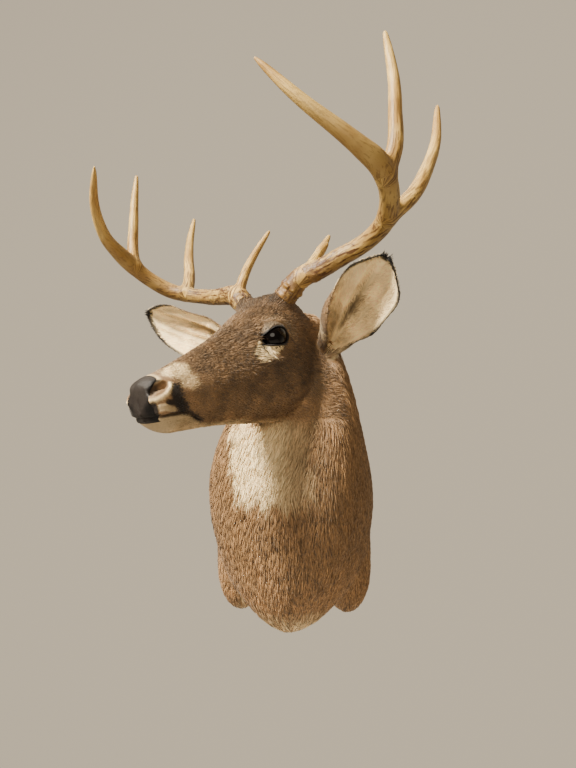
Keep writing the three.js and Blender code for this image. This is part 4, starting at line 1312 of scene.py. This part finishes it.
def tufts(name, roots, r, ground, rings, seed):
    """Solid tapered locks of hair at places on the skin, joined into one mesh."""
    rng = np.random.default_rng(seed)
    count = len(roots)
    normal = r["n"]
    flow = lie_of_coat(r)
    other = np.cross(normal, flow)
    turn = np.radians(rng.normal(0, 7, count))
    along = flow * np.cos(turn)[:, None] + other * np.sin(turn)[:, None]
    other = np.cross(normal, along)
    length, width, lift, _ = fur_size(r)
    length = length * rng.uniform(0.72, 1.2, count)
    width = width * rng.uniform(0.75, 1.25, count)
    lift = np.radians(lift * rng.uniform(0.7, 1.35, count))
    bend = rng.normal(0, 0.05, count) + 0.06 * noise(roots, 10, 31)
    shares = np.append(np.linspace(0, 0.72, rings), 1.0)
    half = np.append(np.interp(shares[:-1], [0, 0.35, 0.72], [0.75, 1.0, 0.72]), 0)
    middle = ground.onto(roots + along * (length * 0.5)[:, None], normal)
    end = ground.onto(roots + along * length[:, None], normal)
    points = []
    for share, wide in zip(shares, half):
        rise = np.sin(lift) * (share - 0.62 * share * share)
        at = roots + (4 * middle - 3 * roots - end) * share + 2 * (roots - 2 * middle + end) * share**2
        at += normal * (length * rise - 0.6)[:, None] + other * (length * bend * share * share)[:, None]
        at[:, 1] = np.minimum(at[:, 1], WALL_GAP)
        if share == 1.0:
            points.append(at[:, None])
            continue
        w = (width * wide / 2)[:, None]
        points.append(np.stack([at + other * w, at + normal * w * 0.9, at - other * w], axis=1))
    points = np.concatenate(points, axis=1)
    per = TUFT_SIDES * rings + 1
    faces = [(2, 1, 0)]
    for k in range(rings - 1):
        for s in range(TUFT_SIDES):
            a, b = k * TUFT_SIDES + s, k * TUFT_SIDES + (s + 1) % TUFT_SIDES
            faces += [(a, b, b + TUFT_SIDES), (a, b + TUFT_SIDES, a + TUFT_SIDES)]
    last = (rings - 1) * TUFT_SIDES
    faces += [(last + s, last + (s + 1) % TUFT_SIDES, per - 1) for s in range(TUFT_SIDES)]
    faces = (np.array(faces)[None] + (np.arange(count) * per)[:, None, None]).reshape(-1, 3)
    made = mesh_object(name, points.reshape(-1, 3), faces)
    soft = dict(r)
    shift = rng.normal(0, 1, (count, 3)) * (length * blend(0.09, 0.17, r["neck"]))[:, None]
    soft["h"], soft["p"] = r["h"] + shift, r["p"] + shift
    marks = markings(soft)
    fleck = rng.normal(0, 1, count)
    clump = noise(roots, 9, 41) * blend(0.36, 0.22, r["neck"])
    clump = clump + noise(roots, 4.5, 42) * blend(0.26, 0.16, r["neck"])
    low_chest = 0.04 + 0.13 * step(60, 0, roots[:, 2])
    spread = (0.1 + low_chest * r["neck"]) * fleck + clump
    marks["tone"] = marks["tone"] * np.maximum(1 + spread * (1 - 0.6 * marks["white"]), 0.3)
    for key, value in marks.items():
        set_attribute(made, key, np.repeat(value, per))
    share_up = np.append(np.repeat(shares[:-1], TUFT_SIDES), 1.0)
    set_attribute(made, "along", np.tile(share_up, count))
    layer = made.data.uv_layers.new(name="OFBake")
    wide, tall = BAKE_PATCH
    across = np.tile(np.append(np.tile([wide / 2, 0, -wide / 2], rings), 0), count)
    up = np.tile((share_up - 0.5) * tall, count)
    uv = np.repeat(unwrap(r), per, axis=0) + np.stack([across, up], 1)
    layer.data.foreach_set("uv", uv[faces.ravel()].astype(np.float32).ravel())
    return made


def unwrap(r):
    """A flat map of the skin: the body, the head and the ears are each rolled out about their own axis."""
    p, h, ear = r["p"], r["h"], r["ear"]
    foot, top = np.array((25.0, 0, -20)), np.array((60.0, -290, 190))
    axis = unit(top - foot)
    side = np.array((1.0, 0, 0)) - axis * axis[0]
    up = np.cross(axis, unit(side))
    rel = p - foot
    body = np.stack([np.arctan2(rel @ unit(side), rel @ up) / (2 * np.pi) + 0.5, (rel @ axis) / 640 + 0.35], 1)
    skull = np.stack([np.arctan2(h[:, 0], h[:, 2] + 35) / (2 * np.pi) + 0.5, (h[:, 1] + 200) / 420], 1)
    leaf = np.stack([(ear["angle"] + 180) / 720 + 0.5 * ear["inside"], ear["at"] * 0.9 + 0.05], 1)
    uv = np.where((r["neck"] > 0.5)[:, None], body, skull)
    uv = np.where(ear["on"][:, None], leaf, uv)
    low, high = uv.min(0), uv.max(0)
    return 0.01 + 0.98 * (uv - low) / (high - low)


def bare(r):
    """Places with no hair: the nose, the eyes' openings, the nostrils, the mouth's line and the flat back."""
    h = r["h"]
    out = pad_distance(h) < 0.3
    for side in SIDES:
        out |= lids_distance(h, side) < 1.6
        for line, width in ((NOSTRIL_SLIT, 5.5), (MOUTH_LINE, 1.2), (TEAR_SLIT, 1.8)):
            out |= line_distance(h, line, side) < width
        foot, tangent = pedicle(side)
        rel = r["p"] - foot
        out |= (np.linalg.norm(rel - (rel @ tangent)[:, None] * tangent, axis=1) < 12.5) & (rel @ tangent > 2)
    return out | (r["p"][:, 1] > -1.6)


def plant(skin, seed):
    """Roots spread over the skin by the coat's density, with what the coat needs to know of each."""
    rng = np.random.default_rng(seed)
    co, normals, tris = points_of(skin), normals_of(skin), triangles_of(skin)
    corners = co[tris]
    area = np.linalg.norm(np.cross(corners[:, 1] - corners[:, 0], corners[:, 2] - corners[:, 0]), axis=1) / 2
    ear = attribute_of(skin, "ear")
    middle = region_of(corners.mean(1), unit(normals[tris].mean(1)), ear[tris].mean(1))
    weight = area * fur_size(middle)[3] * ~bare(middle)
    total = np.cumsum(weight)
    want = (np.arange(int(total[-1])) + rng.random(int(total[-1]))) / int(total[-1]) * total[-1]
    face = np.minimum(np.searchsorted(total, want), len(tris) - 1)
    a, b = rng.random((2, len(face)))
    flip = a + b > 1
    a, b = np.where(flip, 1 - a, a), np.where(flip, 1 - b, b)
    weights = np.stack([1 - a - b, a, b], axis=1)[..., None]
    roots = (corners[face] * weights).sum(1)
    normal = unit((normals[tris[face]] * weights).sum(1))
    region = region_of(roots, normal, (ear[tris[face]] * weights[..., 0]).sum(1))
    keep = ~bare(region)
    return roots[keep], pick(region, keep)


def pick(r, keep):
    return {k: pick(v, keep) if isinstance(v, dict) else v[keep] for k, v in r.items()}


SPECKLE = 2.381  # millimetres across, a few hairs wide


def coat_material():
    """Winter deer hair: matt with a faint sheen, grey at the root, darker under a pale band near the tip. The
    white and black marks lie over it, and some of them, with some of the tone, are painted light and painted shade."""
    made, tree, shader = new_material(
        "deer_hair", Roughness=0.62, Specular_IOR_Level=0.3, Sheen_Weight=0.12, Sheen_Roughness=0.5
    )
    place = add(tree, "ShaderNodeTexCoord").outputs["Object"]
    warm, along, white, tone, dark = (
        add(tree, "ShaderNodeAttribute", attribute_name=name).outputs["Fac"]
        for name in ("warm", "along", "white", "tone", "dark")
    )
    speckling = {"Vector": place, "Scale": per(SPECKLE), "Detail": 2.0}
    fine = add(tree, "ShaderNodeTexNoise", speckling).outputs["Fac"]
    speckle = add(tree, "ShaderNodeMapRange", {"Value": fine, "To Min": 0.86, "To Max": 1.14}).outputs[0]
    ramp = add(tree, "ShaderNodeValToRGB", {"Fac": along})
    while len(ramp.color_ramp.elements) < len(HAIR_BANDS):
        ramp.color_ramp.elements.new(0.5)
    for element, (at, code) in zip(ramp.color_ramp.elements, HAIR_BANDS):
        element.position, element.color = at, linear(code)
    lifted = {0: ramp.outputs["Color"], "Scale": 1.7}
    bands = add(tree, "ShaderNodeVectorMath", lifted, operation="SCALE").outputs[0]
    shade = add(tree, "ShaderNodeMath", {0: tone, 1: speckle}, operation="MULTIPLY").outputs[0]
    browns = {0: warm, 6: linear("765d40"), 7: linear("b38a5c")}
    brown = add(tree, "ShaderNodeMix", browns, data_type="RGBA").outputs[2]
    banded = {0: 1.0, 6: brown, 7: bands}
    banded = add(tree, "ShaderNodeMix", banded, data_type="RGBA", blend_type="MULTIPLY").outputs[2]
    light = add(tree, "ShaderNodeMix", {0: white, 6: banded, 7: linear("fde4b0")}, data_type="RGBA").outputs[2]
    toned = add(tree, "ShaderNodeVectorMath", {0: light, "Scale": shade}, operation="SCALE").outputs[0]
    colour = add(tree, "ShaderNodeMix", {0: dark, 6: toned, 7: linear("0e0806")}, data_type="RGBA").outputs[2]
    tree.links.new(colour, shader.inputs["Base Color"])
    return made


# ---- put together ----

PLANT_SEED, TUFT_SEED = 5, 100
FLESH = ("head", "lower_jaw", "neck", "chest", "shoulder_left", "shoulder_right", "ear_left", "ear_right")

skin = build_skin()
hair = coat_material()
skin.data.materials.append(hair)
skin_region = region_of(points_of(skin), normals_of(skin), attribute_of(skin, "ear"))
for key, value in markings(skin_region).items():
    set_attribute(skin, key, value)
set_attribute(skin, "along", np.full(len(skin.data.vertices), 0.3))
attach(skin, "root")
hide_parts(*FLESH)

nose = build_nose(skin)
nose.data.materials.append(nose_material())
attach(nose, "root")
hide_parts("nose_pad")

ground = Ground(skin)
roots, planted = plant(skin, PLANT_SEED)
on_body = planted["neck"] > 0.5
groups = {
    "body": (on_body, 3, 5),
    "head": (~on_body & ~planted["ear"]["on"], 2, 4),
    "ears": (planted["ear"]["on"], 2, 2),
}
for group, (chosen, rings, pieces) in groups.items():
    index = np.nonzero(chosen)[0]
    place = unwrap(pick(planted, index))[:, 0]
    for k, part in enumerate(np.array_split(index[np.argsort(place)], pieces)):
        piece = tufts(f"coat_{group}_{k + 1}", roots[part], pick(planted, part), ground, rings, TUFT_SEED + k)
        piece.data.materials.append(hair)
        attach(piece, "root")

# A glass eye, blown and fire polished: nearly black brown, with one sharp highlight.
glass, _, _ = new_material("glass_eye", Base_Color=linear("050303"), Roughness=0.04, Specular_IOR_Level=0.3)
bone = antler_material()
for side, name in ((1, "left"), (-1, "right")):
    eye = build_eye(side, f"eyeball_{name}")
    eye.data.materials.append(glass)
    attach(eye, "root")
    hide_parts(f"eye_{name}")
    antler = build_antler(side, f"antler_{name}")
    antler.data.materials.append(bone)
    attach(antler, "root")
    parts = ("beam_lower", "beam_middle", "beam_tip", "brow_tine", "second_tine", "third_tine")
    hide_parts(*(f"antler_{name}_{p}" for p in parts))

for node, material in (("backboard", plywood_material()), ("hanger_plate", steel_material())):
    for carried in bpy.data.objects:
        if carried.type == "MESH" and carried.name.split(".")[0] == node:
            carried.data.materials.clear()
            carried.data.materials.append(material)

# ---- stage ----

CAMERA_AT = (0.160, -1.070, 0.110)
CAMERA_PAN, CAMERA_TILT, CAMERA_ROLL = 8.0, 7.2, 0.3
camera_data = bpy.data.cameras.new("camera")
camera_data.sensor_width = 36
camera_data.lens = 26.25
camera = bpy.data.objects.new("camera", camera_data)
bpy.context.scene.collection.objects.link(camera)
turn = (
    Matrix.Rotation(math.radians(CAMERA_PAN), 4, "Z")
    @ Matrix.Rotation(math.radians(CAMERA_TILT), 4, "X")
    @ Matrix.Rotation(math.radians(CAMERA_ROLL), 4, "Y")
    @ Matrix.Rotation(math.radians(90), 4, "X")
)
camera.matrix_world = Matrix.Translation(CAMERA_AT) @ turn
bpy.context.scene.camera = camera


def area_light(name, at, look_at, size, power, colour):
    data = bpy.data.lights.new(name, "AREA")
    data.shape, data.size, data.energy, data.color = "DISK", size, power, colour
    lamp = bpy.data.objects.new(name, data)
    lamp.location = at
    lamp.rotation_euler = (Vector(look_at) - Vector(at)).to_track_quat("-Z", "Y").to_euler()
    bpy.context.scene.collection.objects.link(lamp)


MIDDLE = (0, -0.25, 0.15)
area_light("key", (-1.12, -1.56, 1.66), MIDDLE, 0.65, 200, (1.0, 0.92, 0.78))
area_light("fill", (-0.05, -2.2, 0.25), MIDDLE, 1.2, 16, (1.0, 0.9, 0.76))
area_light("top", (-0.5, 0.1, 2.0), MIDDLE, 0.9, 10, (1.0, 0.95, 0.86))

# a soft grey room, paler behind the mount than in front of it
world = bpy.data.worlds.new("studio")
world.use_nodes = True
tree = world.node_tree
around = add(tree, "ShaderNodeTexCoord").outputs["Generated"]
toward = add(tree, "ShaderNodeSeparateXYZ", {0: around}).outputs["Y"]
behind = add(tree, "ShaderNodeMapRange", {"Value": toward, "From Min": -0.5, "From Max": 0.9},
             interpolation_type="SMOOTHSTEP").outputs[0]
greys = {0: behind, 6: linear("7c7265"), 7: linear("dccbb0")}
room = add(tree, "ShaderNodeMix", greys, data_type="RGBA").outputs[2]
tree.links.new(room, tree.nodes["Background"].inputs["Color"])
tree.nodes["Background"].inputs["Strength"].default_value = 0.95
bpy.context.scene.world = world

FLOOR_DOWN, FLOOR_HALF = -2250, 2500
corners = [(x * FLOOR_HALF, y * FLOOR_HALF, FLOOR_DOWN) for x, y in ((-1, -1), (1, -1), (1, 1), (-1, 1))]
floor = mesh_object("floor", corners, [(0, 1, 2, 3)], False)
# Matt paper.
paper, _, _ = new_material("studio_floor", Base_Color=linear("cfcac2"), Roughness=0.9)
floor.data.materials.append(paper)
